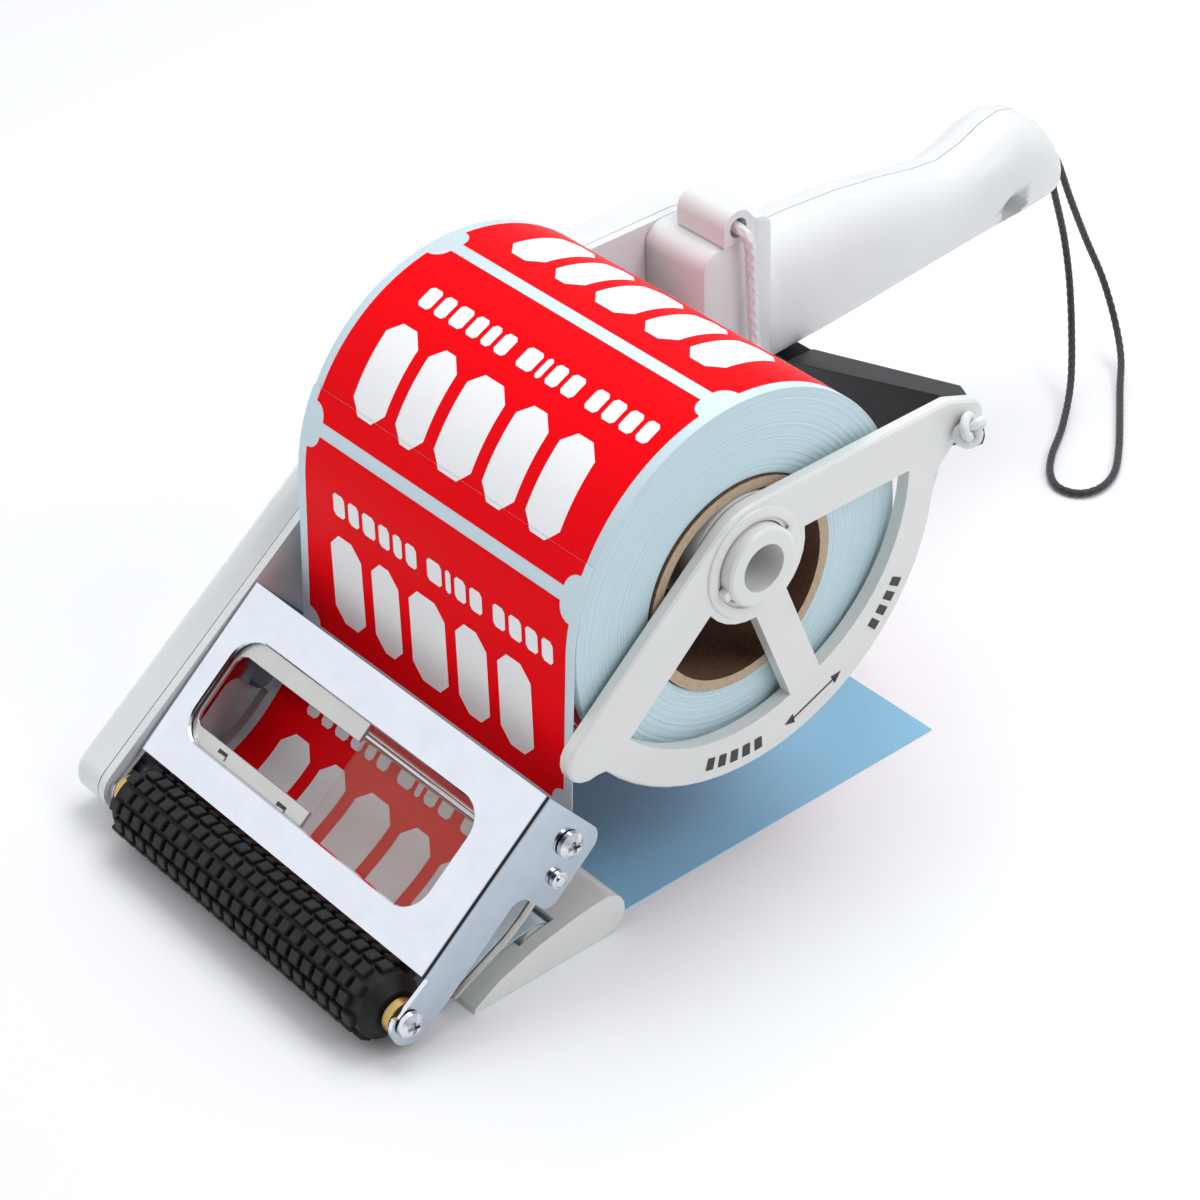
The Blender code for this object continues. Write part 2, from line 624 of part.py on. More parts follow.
def make_foot(mats):
    """Low hollow foot across the front, which holds the feed and pinch rollers."""
    rear = arc((-47.6, -73.2), 5.9, -60, 90, 7)
    top = [(-55.6, -67.9), (-68.1, -70.0), (-80.5, -73.8), (-88.0, -78.0), (-88.6, TABLE_Z)]
    outline = [(-50.0, TABLE_Z)] + rear + top
    foot = prism("front_foot", outline, BODY_INNER_X + GAP, 57.3, mats["white"])
    hollow = [(-40.0, TABLE_Z - 2), (-40.0, -76.6), (-48.0, -71.0), (-54.5, -69.8), (-60.5, -69.8)]
    hollow += [(-68.0, -72.4), (-80.0, -76.4), (-83.0, TABLE_Z - 2)]
    cut_prism(foot, hollow, -54.5, 54.5)
    front, back = FEED_AXIS[0] - FEED_RADIUS - 0.9, FEED_AXIS[0] + FEED_RADIUS + 0.9
    slot = [(front, -75.0), (back, -75.0), (back, -60.0), (front, -60.0)]
    cut_prism(foot, slot, -53.4, 53.4)
    drill(foot, FEED_AXIS, 2.0 + GAP, -60.0, 56.1)
    drill(foot, PINCH_AXIS, 1.2 + GAP, -57.4, 56.1)


def make_cheek(mats):
    """Small plate behind the frame's near ear, which takes the frame screw and the press rod."""
    corners = ((1.6, 7.6), (24.4, 7.6), (24.4, 9.8), (21.4, 14.0), (20.6, 20.6), (18.2, 22.8), (5.0, 22.8))
    outline = [face_point(*p) for p in (*corners, (1.6, 20.4))]
    plate = prism("side_cheek", outline, 54.8, 56.7, mats["grey"])
    drill(plate, PRESS_AXIS, PRESS_RADIUS + GAP, 54, 58)
    drill(plate, face_point(6.6, 15.5), 2.0, 54, 58)


# ---------------------------------------------------------------- rollers and gears


def gear_outline(teeth, centre, phase):
    """Straight-flanked teeth: phase is the direction of one tooth, in degrees."""
    pitch = 360 / teeth
    root = GEAR_MODULE * (teeth / 2 - 1.25)
    tip = GEAR_MODULE * (teeth / 2 + 0.85)
    points = []
    for i in range(teeth):
        middle = phase + i * pitch
        for share, radius in ((-0.33, root), (-0.12, tip), (0.12, tip), (0.33, root)):
            angle = math.radians(middle + share * pitch)
            points.append((centre[0] + radius * math.cos(angle), centre[1] + radius * math.sin(angle)))
    return points


def gear_phases():
    """Direction of a tooth of each gear, such that every pair is in mesh."""
    way = Vector(FEED_AXIS) - Vector(ROLLER_AXIS)
    towards = math.degrees(math.atan2(way.y, way.x))
    phases = [towards]
    for first, second in zip(GEAR_TEETH, GEAR_TEETH[1:]):
        position = (towards - phases[-1]) * first / 360
        phases.append(towards + 180 - (0.5 - position) * 360 / second)
    return phases


def make_gears(mats):
    bores = (2.2 + GAP, POST_RADIUS + 0.2, POST_RADIUS + 0.2, POST_RADIUS + 0.2, 0.85 + 0.2)
    parts = zip(GEAR_NAMES, GEAR_TEETH, gear_centres(), gear_phases(), bores)
    for name, teeth, centre, phase, bore in parts:
        outline = gear_outline(teeth, centre, phase)
        gear = prism(name, outline, *GEAR_X, mats["black"], (0, *centre))
        drill(gear, centre, bore, GEAR_X[0] - 1, GEAR_X[1] + 1, 12)


def make_studded_roller(mats):
    """Rubber sleeve with flutes between its rows of studs, tapered at both ends."""
    rows, inner = 13, 3.3
    half = 53.4
    loops = []
    stations = ((-half, 6.2), (-half + 2.6, ROLLER_RADIUS), (half - 2.6, ROLLER_RADIUS), (half, 6.2))
    for x, radius in stations:
        loop = []
        for i in range(rows):
            for share, depth in ((0.0, 0.0), (0.55, 0.0), (0.68, 1.5), (0.87, 1.5)):
                angle = 2 * math.pi * (i + share) / rows
                reach = radius - depth * (radius - 4.0) / (ROLLER_RADIUS - 4.0)
                y = ROLLER_AXIS[0] + reach * math.cos(angle)
                loop.append((x, y, ROLLER_AXIS[1] + reach * math.sin(angle)))
        loops.append(loop)
    sleeve = loft("roller_sleeve", loops, mats["rubber"], (0, *ROLLER_AXIS))
    drill(sleeve, ROLLER_AXIS, inner, -60, 60, 20)


def make_rollers(mats):
    make_studded_roller(mats)
    shaft = [(-69.0 + 0.4, -53.9, 2.2), (-53.9, 53.7, 3.0), (53.7, 56.6, 2.2)]
    rod("roller_shaft", shaft, ROLLER_AXIS, mats["steel"])
    ring("bushing_near", 54.2, 56.6, 4.6, 2.2 + GAP, ROLLER_AXIS, mats["brass"], 24)
    ring("bushing_far", -56.4, -54.2, 4.6, 2.2 + GAP, ROLLER_AXIS, mats["brass"], 24)
    pan_screw("roller_screw", ROLLER_AXIS, FRAME_RIGHT_X + GAP + 2.2, 1, 3.5, mats["chrome"], 1.6)
    ring("feed_roller", -53.0, 53.0, FEED_RADIUS, 2.0 + GAP, FEED_AXIS, mats["silicone"], 28)
    feed = [(-68.6, -62.6, 0.85), (-62.6, 55.8, 2.0)]
    rod("feed_shaft", feed, FEED_AXIS, mats["steel"], 20)
    ring("pinch_roller", -53.0, 53.0, PINCH_RADIUS, 1.2 + GAP, PINCH_AXIS, mats["silicone"], 24)
    rod("pinch_shaft", [(-57.1, 55.8, 1.2)], PINCH_AXIS, mats["steel"], 16)
    press = [(BODY_INNER_X + GAP, FRAME_RIGHT_X + GAP, PRESS_RADIUS)]
    press += [(FRAME_RIGHT_X + GAP, 59.6, 2.3), (59.6, 60.3, 1.5)]
    rod("press_rod", press, PRESS_AXIS, mats["chrome"], 16)


# ---------------------------------------------------------------- guard arm


def make_guard(mats):
    """Bent arm from under the grip, behind the roll, up to the holder's tip."""
    start = Vector((-37.7, 99.7, -22.9))
    finish = Vector((48.4, 78.2, 14.4))
    along = (finish - start).normalized()
    back = (Vector((0, 1, 0)) - along * along.y).normalized()
    up = along.cross(back)
    reach = (finish - start).length
    frame = Matrix((along, back, up)).transposed().to_4x4()
    frame.translation = start
    thick = 1.6

    def local(outline, low, high, plane):
        """Loops of an outline in the arm's own axes, lying in its flange or in its web."""
        loops = []
        for level in (low, high):
            if plane == "flange":
                loop = [frame @ Vector((a, b, level)) for a, b in outline]
            else:
                loop = [frame @ Vector((a, level, b)) for a, b in outline]
            loops.append([tuple(point) for point in loop])
        return loops

    web = [(-2.0, -0.2), (-2.0, -11.0), (14.0, -24.0), (40.0, -24.0), (reach - 8.0, -12.4)]
    web += arc((reach - 2.0, -6.4), 6.2, -90, 60, 6)
    web += [(reach - 3.0, -0.2)]
    arm = loft("guard_arm", local(web, 0.0, thick, "web"), mats["black"])
    flange = [(-2.0, 0.1), (reach - 3.0, 0.1), (reach - 4.0, 3.4), (reach - 13.0, 6.8), (-2.0, 9.0)]
    join(arm, loft("guard_flange_guide", local(flange, -thick, 0.0, "flange"), None), "UNION")
    tab = [(-58.0, 99.9, 0), (-37.0, 99.9, 0), (-37.0, 108.6, 0), (-58.0, 108.6, 0)]
    levels = (-24.9, -23.1)
    loops = [[(x, y, z) for x, y, _ in tab] for z in levels]
    join(arm, loft("guard_tab_guide", loops, None), "UNION")
    for number, x in enumerate((-54.0, -43.0), 1):
        profile = ((-26.9, 0), (-26.9, 1.6), (-26.2, 2.6), (-25.2, 2.6), (-25.2, 0))
        vertical_stud(f"guard_screw_{number}", (x, 104.2), profile, mats["steel"])


def vertical_stud(name, place, profile, made_of, segments=16):
    """Solid of revolution about a vertical line: profile of (z, radius)."""
    bm = bmesh.new()
    rings = []
    for z, radius in profile:
        if radius == 0:
            rings.append([bm.verts.new((*place, z))])
            continue
        angles = [2 * math.pi * i / segments for i in range(segments)]
        spots = [(place[0] + radius * math.cos(a), place[1] + radius * math.sin(a), z) for a in angles]
        rings.append([bm.verts.new(spot) for spot in spots])
    for ring_, following in zip(rings, rings[1:]):
        for i in range(segments):
            j = (i + 1) % segments
            corners = [ring_[i % len(ring_)], ring_[j % len(ring_)]]
            corners += [following[j % len(following)], following[i % len(following)]]
            bm.faces.new(list(dict.fromkeys(corners)))
    return object_from(name, bm, made_of, (*place, profile[0][0]))


# ---------------------------------------------------------------- cords

LEASH_DIAMETER = 3.2
LEASH_ROUTE = (
    (-56.0, 79.2, 23.9),
    (-56.0, 79.2, 26.2),
    (-54.6, 79.2, 27.8),
    (-50.0, 79.2, 27.9),
    (-42.0, 79.2, 27.9),
    (-35.6, 79.2, 27.9),
    (-32.4, 79.6, 26.6),
    (-31.4, 80.2, 23.0),
    (-31.6, 80.8, 14.0),
    (-31.2, 81.0, 2.0),
    (-29.4, 80.6, -10.0),
    (-25.0, 79.0, -22.0),
    (-17.0, 76.4, -32.0),
    (-6.0, 73.4, -38.4),
    (7.0, 71.0, -40.4),
    (20.0, 69.8, -37.6),
    (32.0, 69.6, -30.0),
    (40.6, 69.8, -19.0),
    (45.6, 70.0, -7.0),
    (48.4, 69.6, 5.0),
    (49.6, 68.6, 12.4),
    (51.2, 68.1, 15.9),
    (54.0, 68.0, 16.6),
)
WRIST_DIAMETER = 2.2
WRIST_ROUTE = (
    (-49.2, 207.8, -3.6),
    (-49.2, 211.6, -4.0),
    (-49.4, 216.6, -11.0),
    (-49.2, 222.6, -25.0),
    (-48.4, 229.6, -41.0),
    (-45.4, 234.6, -55.0),
    (-40.0, 235.0, -67.0),
    (-32.4, 230.2, -74.4),
    (-23.6, 220.6, -77.7),
    (-12.4, 208.4, -78.2),
    (-2.6, 197.4, -78.2),
    (4.8, 187.6, -78.2),
    (7.6, 179.0, -78.2),
    (5.6, 172.4, -78.2),
    (-0.4, 170.2, -78.2),
    (-6.8, 173.4, -78.2),
    (-13.4, 181.0, -78.2),
    (-21.6, 194.0, -78.0),
    (-31.0, 207.0, -73.6),
    (-39.4, 215.6, -63.6),
    (-45.0, 219.6, -50.0),
    (-48.0, 219.4, -36.0),
    (-49.2, 215.6, -20.6),
    (-49.2, 211.8, -9.4),
    (-49.2, 207.8, -8.6),
)


def catmull_rom(route, step):
    """Points about step apart on a smooth curve through the route."""
    spots = [Vector(point) for point in route]
    padded = [2 * spots[0] - spots[1], *spots, 2 * spots[-1] - spots[-2]]
    points = []
    for a, b, c, d in zip(padded, padded[1:], padded[2:], padded[3:]):
        pieces = max(1, round((c - b).length / step))
        for i in range(pieces):
            t = i / pieces
            cubic = -a + 3 * b - 3 * c + d
            square = 2 * a - 5 * b + 4 * c - d
            points.append((2 * b + (c - a) * t + square * t * t + cubic * t**3) / 2)
    return points + [spots[-1]]


def cord(name, route, diameter, made_of):
    points = catmull_rom(route, diameter * 2.6)
    curve = bpy.data.curves.new(name, "CURVE")
    curve.dimensions = "3D"
    curve.bevel_depth = diameter / 2 * MM
    curve.bevel_resolution = 2
    curve.use_fill_caps = True
    spline = curve.splines.new("POLY")
    spline.points.add(len(points) - 1)
    for spot, point in zip(spline.points, points):
        spot.co = (*world(*point), 1)
    curve.materials.append(made_of)
    made = bpy.data.objects.new(name, curve)
    bpy.context.scene.collection.objects.link(made)


def make_cords(mats):
    cord("leash_cord", LEASH_ROUTE, LEASH_DIAMETER, mats["white_cord"])
    cord("wrist_cord", WRIST_ROUTE, WRIST_DIAMETER, mats["black_cord"])
    seat = HOLDER_X[1] + GAP
    knot = [(HOLDER_X[0] + GAP, 0), (HOLDER_X[0] + GAP, 1.6), (seat, 1.6), (seat, 3.2), (seat + 1.4, 4.6)]
    knot += [(seat + 3.4, 4.8), (seat + 5.2, 3.2), (seat + 5.2, 0)]
    turned("leash_knot", knot, LEASH_HOLE, mats["white_cord"], 14)


def main():
    for old in list(bpy.data.objects):
        bpy.data.objects.remove(old)
    mats = make_materials()
    make_body(mats)
    make_grip(mats)
    make_leash_guide(mats)
    make_spindle(mats)
    make_roll(mats)
    make_holder(mats)
    make_front_frame(mats)
    make_label_guides(mats)
    make_label_path(mats)
    make_foot(mats)
    make_cheek(mats)
    make_gears(mats)
    make_rollers(mats)
    make_guard(mats)
    make_cords(mats)


main()
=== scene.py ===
"""Looks of the roll label applicator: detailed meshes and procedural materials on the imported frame.

Points are given in millimetres from the middle of the label roll's axis, as in the part's own
design: X along the axis to the free side, Y to the grip, Z up. at() puts them in the row frame.
"""

import json
import math

import bmesh
import bpy
from mathutils import Matrix, Vector
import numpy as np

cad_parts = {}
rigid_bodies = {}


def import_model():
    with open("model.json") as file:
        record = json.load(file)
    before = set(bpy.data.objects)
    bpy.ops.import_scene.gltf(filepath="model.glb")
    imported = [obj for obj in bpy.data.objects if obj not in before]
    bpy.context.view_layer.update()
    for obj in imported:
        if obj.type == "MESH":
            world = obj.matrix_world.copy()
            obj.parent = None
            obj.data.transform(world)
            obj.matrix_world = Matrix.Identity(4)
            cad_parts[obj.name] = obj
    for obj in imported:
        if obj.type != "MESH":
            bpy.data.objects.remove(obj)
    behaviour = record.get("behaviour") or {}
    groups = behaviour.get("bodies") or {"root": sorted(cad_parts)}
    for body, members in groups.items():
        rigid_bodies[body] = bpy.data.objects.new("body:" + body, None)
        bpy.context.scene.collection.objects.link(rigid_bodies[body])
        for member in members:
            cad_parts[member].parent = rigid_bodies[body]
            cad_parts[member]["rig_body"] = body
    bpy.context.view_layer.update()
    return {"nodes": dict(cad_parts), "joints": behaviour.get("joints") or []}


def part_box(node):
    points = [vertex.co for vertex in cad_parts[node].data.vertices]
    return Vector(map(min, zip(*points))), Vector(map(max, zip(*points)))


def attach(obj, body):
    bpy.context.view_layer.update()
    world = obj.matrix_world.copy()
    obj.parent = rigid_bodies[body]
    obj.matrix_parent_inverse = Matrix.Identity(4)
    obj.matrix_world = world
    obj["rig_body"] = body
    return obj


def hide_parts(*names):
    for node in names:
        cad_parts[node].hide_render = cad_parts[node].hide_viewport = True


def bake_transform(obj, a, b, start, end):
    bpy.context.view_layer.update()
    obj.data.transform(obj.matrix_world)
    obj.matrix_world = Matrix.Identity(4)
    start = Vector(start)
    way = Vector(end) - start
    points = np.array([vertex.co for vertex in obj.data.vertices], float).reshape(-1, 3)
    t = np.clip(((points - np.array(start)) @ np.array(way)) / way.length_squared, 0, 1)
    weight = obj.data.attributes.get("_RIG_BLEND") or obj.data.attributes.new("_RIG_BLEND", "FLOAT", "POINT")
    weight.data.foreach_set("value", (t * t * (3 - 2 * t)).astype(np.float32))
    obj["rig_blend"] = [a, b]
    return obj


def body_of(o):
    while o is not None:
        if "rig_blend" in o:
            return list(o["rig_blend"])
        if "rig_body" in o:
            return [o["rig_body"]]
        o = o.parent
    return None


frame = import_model()
NODES = frame["nodes"]
JOINTS = {joint["name"]: joint for joint in frame["joints"]}
MM = 0.001
ROLL_CENTRE = Vector(JOINTS["roll_spin"]["pos_m"])


def at(x, y, z):
    return ROLL_CENTRE + Vector((x, y, z)) * MM


def axis_of(joint):
    """(y, z) of a joint's axis in design millimetres."""
    place = (Vector(JOINTS[joint]["pos_m"]) - ROLL_CENTRE) / MM
    return (place.y, place.z)


def span_of(node):
    """Lowest and highest corner of a CAD node in design millimetres."""
    low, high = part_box(node)
    return (Vector(low) - ROLL_CENTRE) / MM, (Vector(high) - ROLL_CENTRE) / MM


TABLE = span_of("body_plate")[0].z
HUB = axis_of("holder_turn")
ROLLER_AXIS = axis_of("roller_spin")
ROLL_RADIUS = (span_of("label_roll")[1].z - span_of("label_roll")[0].z) / 2
SHEET_HALF = span_of("spent_liner")[1].x

# The front frame's face: s runs down from its top edge, h goes into the tool
FACE_TOP = (-63.8, -26.9)
FACE_ANGLE = math.radians(219.5)
FACE_LENGTH = 50.4

# The web leaves the roll, drops behind the frame and slides down to the peel edge
LEAVE_ANGLE = 176.5
WEB_START_ANGLE = 150.0
START_RISE = 0.17
WEB_RISE = 0.55
WEB_ROUTE = (
    (-53.25, -39.5),
    (-54.7, -44.8),
    (-57.9, -49.8),
    (-62.0, -53.7),
    (-66.3, -57.9),
    (-70.8, -62.0),
    (-75.6, -65.4),
    (-81.0, -68.2),
    (-86.6, -70.9),
    (-92.0, -73.7),
)
TURN_RADIUS = 0.95
WEB_SHEET = 0.2
LABEL_ROOM = 0.14
RETURN_RUN = 12.4
WEB_FOOT = -77.6

# Camera: azimuth, elevation and roll in degrees, then place and lens
CAMERA_TURN = (50.91, 36.08, -2.075)
CAMERA_PLACE = (538.1, -436.6, 471.5)
CAMERA_LENS = 102.55

# Studio
DIM_END = (0.627, -0.51, 0.589)
DIM_STRENGTH = 0.03
WORLD_STRENGTH = 0.68


def face_point(s, h):
    down = (math.cos(FACE_ANGLE), math.sin(FACE_ANGLE))
    inward = (-down[1], down[0])
    return (
        FACE_TOP[0] + s * down[0] + h * inward[0],
        FACE_TOP[1] + s * down[1] + h * inward[1],
    )


# ---------------------------------------------------------------- materials


class Nodes:
    """Short ways to add and link shader nodes in one material."""

    def __init__(self, name):
        self.material = bpy.data.materials.new(name)
        self.material.use_nodes = True
        self.tree = self.material.node_tree
        self.shader = self.tree.nodes["Principled BSDF"]

    def add(self, kind, **settings):
        node = self.tree.nodes.new(kind)
        for key, value in settings.items():
            if key in node.inputs:
                node.inputs[key].default_value = value
            else:
                setattr(node, key, value)
        return node

    def link(self, output, target):
        self.tree.links.new(output, target)

    def maths(self, operation, first, second=0.0, third=0.0):
        node = self.add("ShaderNodeMath", operation=operation)
        for socket, value in zip(node.inputs, (first, second, third)):
            if isinstance(value, (int, float)):
                socket.default_value = value
            else:
                self.link(value, socket)
        return node.outputs[0]

    def place(self):
        """Object coordinates in design millimetres."""
        coords = self.add("ShaderNodeTexCoord")
        moved = self.add("ShaderNodeVectorMath", operation="SUBTRACT")
        moved.inputs[1].default_value = ROLL_CENTRE
        self.link(coords.outputs["Object"], moved.inputs[0])
        scaled = self.add("ShaderNodeVectorMath", operation="SCALE")
        scaled.inputs["Scale"].default_value = 1 / MM
        self.link(moved.outputs[0], scaled.inputs[0])
        return scaled.outputs[0]

    def noise(self, vector, scale, detail=3.0, roughness=0.5):
        node = self.add("ShaderNodeTexNoise", Scale=scale, Detail=detail, Roughness=roughness)
        self.link(vector, node.inputs["Vector"])
        return node.outputs["Fac"]

    def ramp(self, factor, stops):
        """stops are (place, colour)."""
        node = self.add("ShaderNodeValToRGB")
        elements = node.color_ramp.elements
        while len(elements) < len(stops):
            elements.new(0.5)
        for element, (place, colour) in zip(elements, stops):
            element.position = place
            element.color = (*colour, 1.0)
        self.link(factor, node.inputs["Fac"])
        return node.outputs["Color"]

    def spread(self, factor, low, high):
        node = self.add("ShaderNodeMapRange")
        node.inputs["To Min"].default_value = low
        node.inputs["To Max"].default_value = high
        self.link(factor, node.inputs["Value"])
        return node.outputs["Result"]

    def base(self, colours):
        self.link(colours, self.shader.inputs["Base Color"])

    def gloss(self, roughness):
        self.link(roughness, self.shader.inputs["Roughness"])

    def bump(self, height, strength, distance):
        node = self.add("ShaderNodeBump", Strength=strength, Distance=distance * MM)
        self.link(height, node.inputs["Height"])
        self.link(node.outputs["Normal"], self.shader.inputs["Normal"])

    def set(self, **values):
        for key, value in values.items():
            self.shader.inputs[key.replace("_", " ")].default_value = value


def tint(colour, amount):
    return tuple(min(1.0, max(0.0, channel * amount)) for channel in colour)


def moulded(name, colour, roughness, grain=0.35, coat=0.0, shine=0.5):
    """Moulded plastic: faint mottling, fine moulding grain and uneven gloss."""
    n = Nodes(name)
    place = n.place()
    cloud = n.noise(place, 0.035, 4.0)
    n.base(n.ramp(cloud, [(0.3, tint(colour, 0.97)), (0.7, tint(colour, 1.02))]))
    fine = n.noise(place, 3.2, 2.0)
    n.gloss(n.spread(n.noise(place, 0.3, 5.0, 0.7), roughness - 0.06, roughness + 0.08))
    n.bump(fine, grain, 0.03)
    n.set(Coat_Weight=coat, Coat_Roughness=0.12, Specular_IOR_Level=shine)
    return n.material


def plated(name, colour, roughness, brushed=0.0):
    """Plated or plain metal, with streaks along X and small smears in the gloss."""
    n = Nodes(name)
    place = n.place()
    stretch = n.add("ShaderNodeMapping")
    stretch.inputs["Scale"].default_value = (0.02, 1.0, 1.0)
    n.link(place, stretch.inputs["Vector"])
    streak = n.noise(stretch.outputs[0], 5.0, 4.0, 0.7)
    smear = n.noise(place, 0.12, 5.0, 0.65)
    uneven = n.spread(smear, roughness * 0.7, roughness * 1.5)
    n.gloss(n.maths("MULTIPLY_ADD", streak, brushed, uneven))
    n.base(n.ramp(smear, [(0.3, tint(colour, 0.94)), (0.75, tint(colour, 1.03))]))
    n.bump(streak, 0.05 + brushed, 0.02)
    n.set(Metallic=1.0)
    return n.material


def rubber(name, colour=(0.012, 0.012, 0.013)):
    n = Nodes(name)
    place = n.place()
    n.gloss(n.spread(n.noise(place, 0.5, 4.0), 0.42, 0.66))
    dust = n.noise(place, 0.25, 6.0, 0.7)
    n.base(n.ramp(dust, [(0.45, colour), (0.8, tint(colour, 2.2))]))
    n.bump(n.noise(place, 2.0, 4.0, 0.7), 0.5, 0.06)
    n.set(Specular_IOR_Level=0.28)
    return n.material


def paper(name, colour, roughness=0.4, depth=0.0, shine=0.5):
    """Coated paper: faint fibre mottling under an even gloss."""
    n = Nodes(name)
    place = n.place()
    fibre = n.noise(place, 1.4, 6.0, 0.7)
    n.base(n.ramp(fibre, [(0.3, tint(colour, 0.96)), (0.7, tint(colour, 1.03))]))
    n.gloss(n.spread(n.noise(place, 0.1, 3.0), roughness - 0.06, roughness + 0.06))
    n.bump(n.noise(place, 0.08, 2.0), 0.3 + depth, 0.12)
    n.set(Specular_IOR_Level=shine)
    return n.material


def radius_about(n, place, centre):
    """Distance in millimetres from a line parallel to X."""
    parts = n.add("ShaderNodeSeparateXYZ")
    n.link(place, parts.inputs[0])
    y = n.maths("SUBTRACT", parts.outputs["Y"], centre[0])
    z = n.maths("SUBTRACT", parts.outputs["Z"], centre[1])
    square = n.maths("ADD", n.maths("MULTIPLY", y, y), n.maths("MULTIPLY", z, z))
    return n.maths("SQRT", square)


def wound_paper(name):
    """End face of the roll: one pale line for each turn, in cool blue and warmer greys."""
    n = Nodes(name)
    place = n.place()
    radius = radius_about(n, place, (0.0, 0.0))
    lines = n.add("ShaderNodeTexNoise", Scale=1.0, Detail=5.0, Roughness=0.75, noise_dimensions="1D")
    n.link(n.maths("MULTIPLY", radius, 2.4), lines.inputs["W"])
    stops = [(0.3, (0.42, 0.6, 0.65)), (0.5, (0.58, 0.74, 0.79)), (0.7, (0.72, 0.84, 0.87))]
    n.base(n.ramp(lines.outputs["Fac"], stops))
    n.bump(lines.outputs["Fac"], 0.6, 0.12)
    n.set(Roughness=0.5)
    return n.material


SEAM_PITCH = 46.0


def board(name):
    """Spiral-wound core board: dark brown with a spiral seam, tan where it was cut."""
    n = Nodes(name)
    place = n.place()
    parts = n.add("ShaderNodeSeparateXYZ")
    n.link(place, parts.inputs[0])
    turn = n.maths("ARCTAN2", parts.outputs["Z"], parts.outputs["Y"])
    along = n.maths("DIVIDE", parts.outputs["X"], SEAM_PITCH)
    spiral = n.maths("FRACT", n.maths("MULTIPLY_ADD", turn, 0.5 / math.pi, along))
    seam = n.maths("LESS_THAN", spiral, 0.03)
    grain = n.noise(place, 0.9, 6.0, 0.75)
    inside = n.ramp(grain, [(0.3, (0.1, 0.045, 0.025)), (0.7, (0.2, 0.1, 0.055))])
    cut = n.ramp(grain, [(0.3, (0.42, 0.3, 0.19)), (0.7, (0.58, 0.45, 0.32))])
    facing = n.add("ShaderNodeSeparateXYZ")
    normal = n.add("ShaderNodeNewGeometry")
    n.link(normal.outputs["Normal"], facing.inputs[0])
    end = n.maths("GREATER_THAN", n.maths("ABSOLUTE", facing.outputs["X"]), 0.6)
    mixed = n.add("ShaderNodeMix", data_type="RGBA")
    n.link(end, mixed.inputs["Factor"])
    n.link(inside, mixed.inputs["A"])
    n.link(cut, mixed.inputs["B"])
    n.base(mixed.outputs["Result"])
    n.bump(n.maths("SUBTRACT", grain, seam), 0.4, 0.15)
    n.set(Roughness=0.85)
    return n.material


def clear_plastic(name):
    n = Nodes(name)
    place = n.place()
    n.gloss(n.spread(n.noise(place, 0.2, 4.0), 0.03, 0.1))
    n.set(Base_Color=(0.35, 0.22, 0.16, 1.0), Alpha=0.12, Specular_IOR_Level=0.8)
    return n.material


def cord_cover(name, colour, shine):
    n = Nodes(name)
    place = n.place()
    yarn = n.noise(place, 3.0, 5.0, 0.7)
    n.base(n.ramp(yarn, [(0.3, tint(colour, 0.75)), (0.7, tint(colour, 1.1))]))
    n.bump(yarn, 0.6, 0.12)
    n.set(Roughness=shine, Sheen_Weight=0.25, Sheen_Roughness=0.5)
    return n.material


MATERIALS = {
    "white": moulded("white_moulded", (0.77, 0.765, 0.735), 0.32, 0.2, 0.2),
    "shell": moulded("shell_moulded", (0.77, 0.785, 0.785), 0.36, 0.3, 0.15),
    "grey": moulded("grey_moulded", (0.6, 0.67, 0.68), 0.4),
    "black": moulded("black_moulded", (0.012, 0.015, 0.016), 0.36, 0.4, shine=0.16),
    # The chrome and flange entries are one plated sheet in two copies: the face copy is a painted
    # reflection, bright and lavender, and the flange copy is painted shade, darker and grey-blue.
    "gear": moulded("gear_moulded", (0.05, 0.05, 0.05), 0.5),
    "chrome": plated("chrome_face_painted_reflection", (0.8, 0.83, 0.9), 0.07),
    "flange": plated("chrome_flange_painted_shade", (0.52, 0.58, 0.65), 0.14),
    "screw": plated("screw_chrome", (0.78, 0.79, 0.82), 0.16),
    "steel": plated("plain_steel", (0.62, 0.61, 0.59), 0.26, 0.12),
    "brass": plated("turned_brass", (0.66, 0.46, 0.17), 0.28, 0.1),
    "rubber": rubber("black_rubber"),
    "roller_core": rubber("roller_ground", (0.008, 0.008, 0.009)),
    "silicone": moulded("silicone_grey", (0.6, 0.62, 0.6), 0.6),
    "red": paper("label_red", (0.95, 0.001, 0.006), 0.4, shine=0.04),
    "print": paper("label_white", (0.97, 0.97, 0.97), 0.4, shine=0.1),
    "backing": paper("label_backing", (0.66, 0.8, 0.86), 0.34),
    "liner": paper("spent_liner_blue", (0.27, 0.57, 0.78), 0.34, 0.2),
    "wound": wound_paper("wound_paper"),
    "board": board("core_board"),
    "clear": clear_plastic("clear_guide"),
    "white_cord": cord_cover("white_braid", (0.84, 0.85, 0.86), 0.5),
    "black_cord": cord_cover("black_braid", (0.018, 0.018, 0.02), 0.55),
    # Dark ink for the holder's printed marks, also used as painted shade inside the guide's slots.
    "mark": moulded("print_ink_and_slot_shade", (0.03, 0.03, 0.035), 0.5),
}

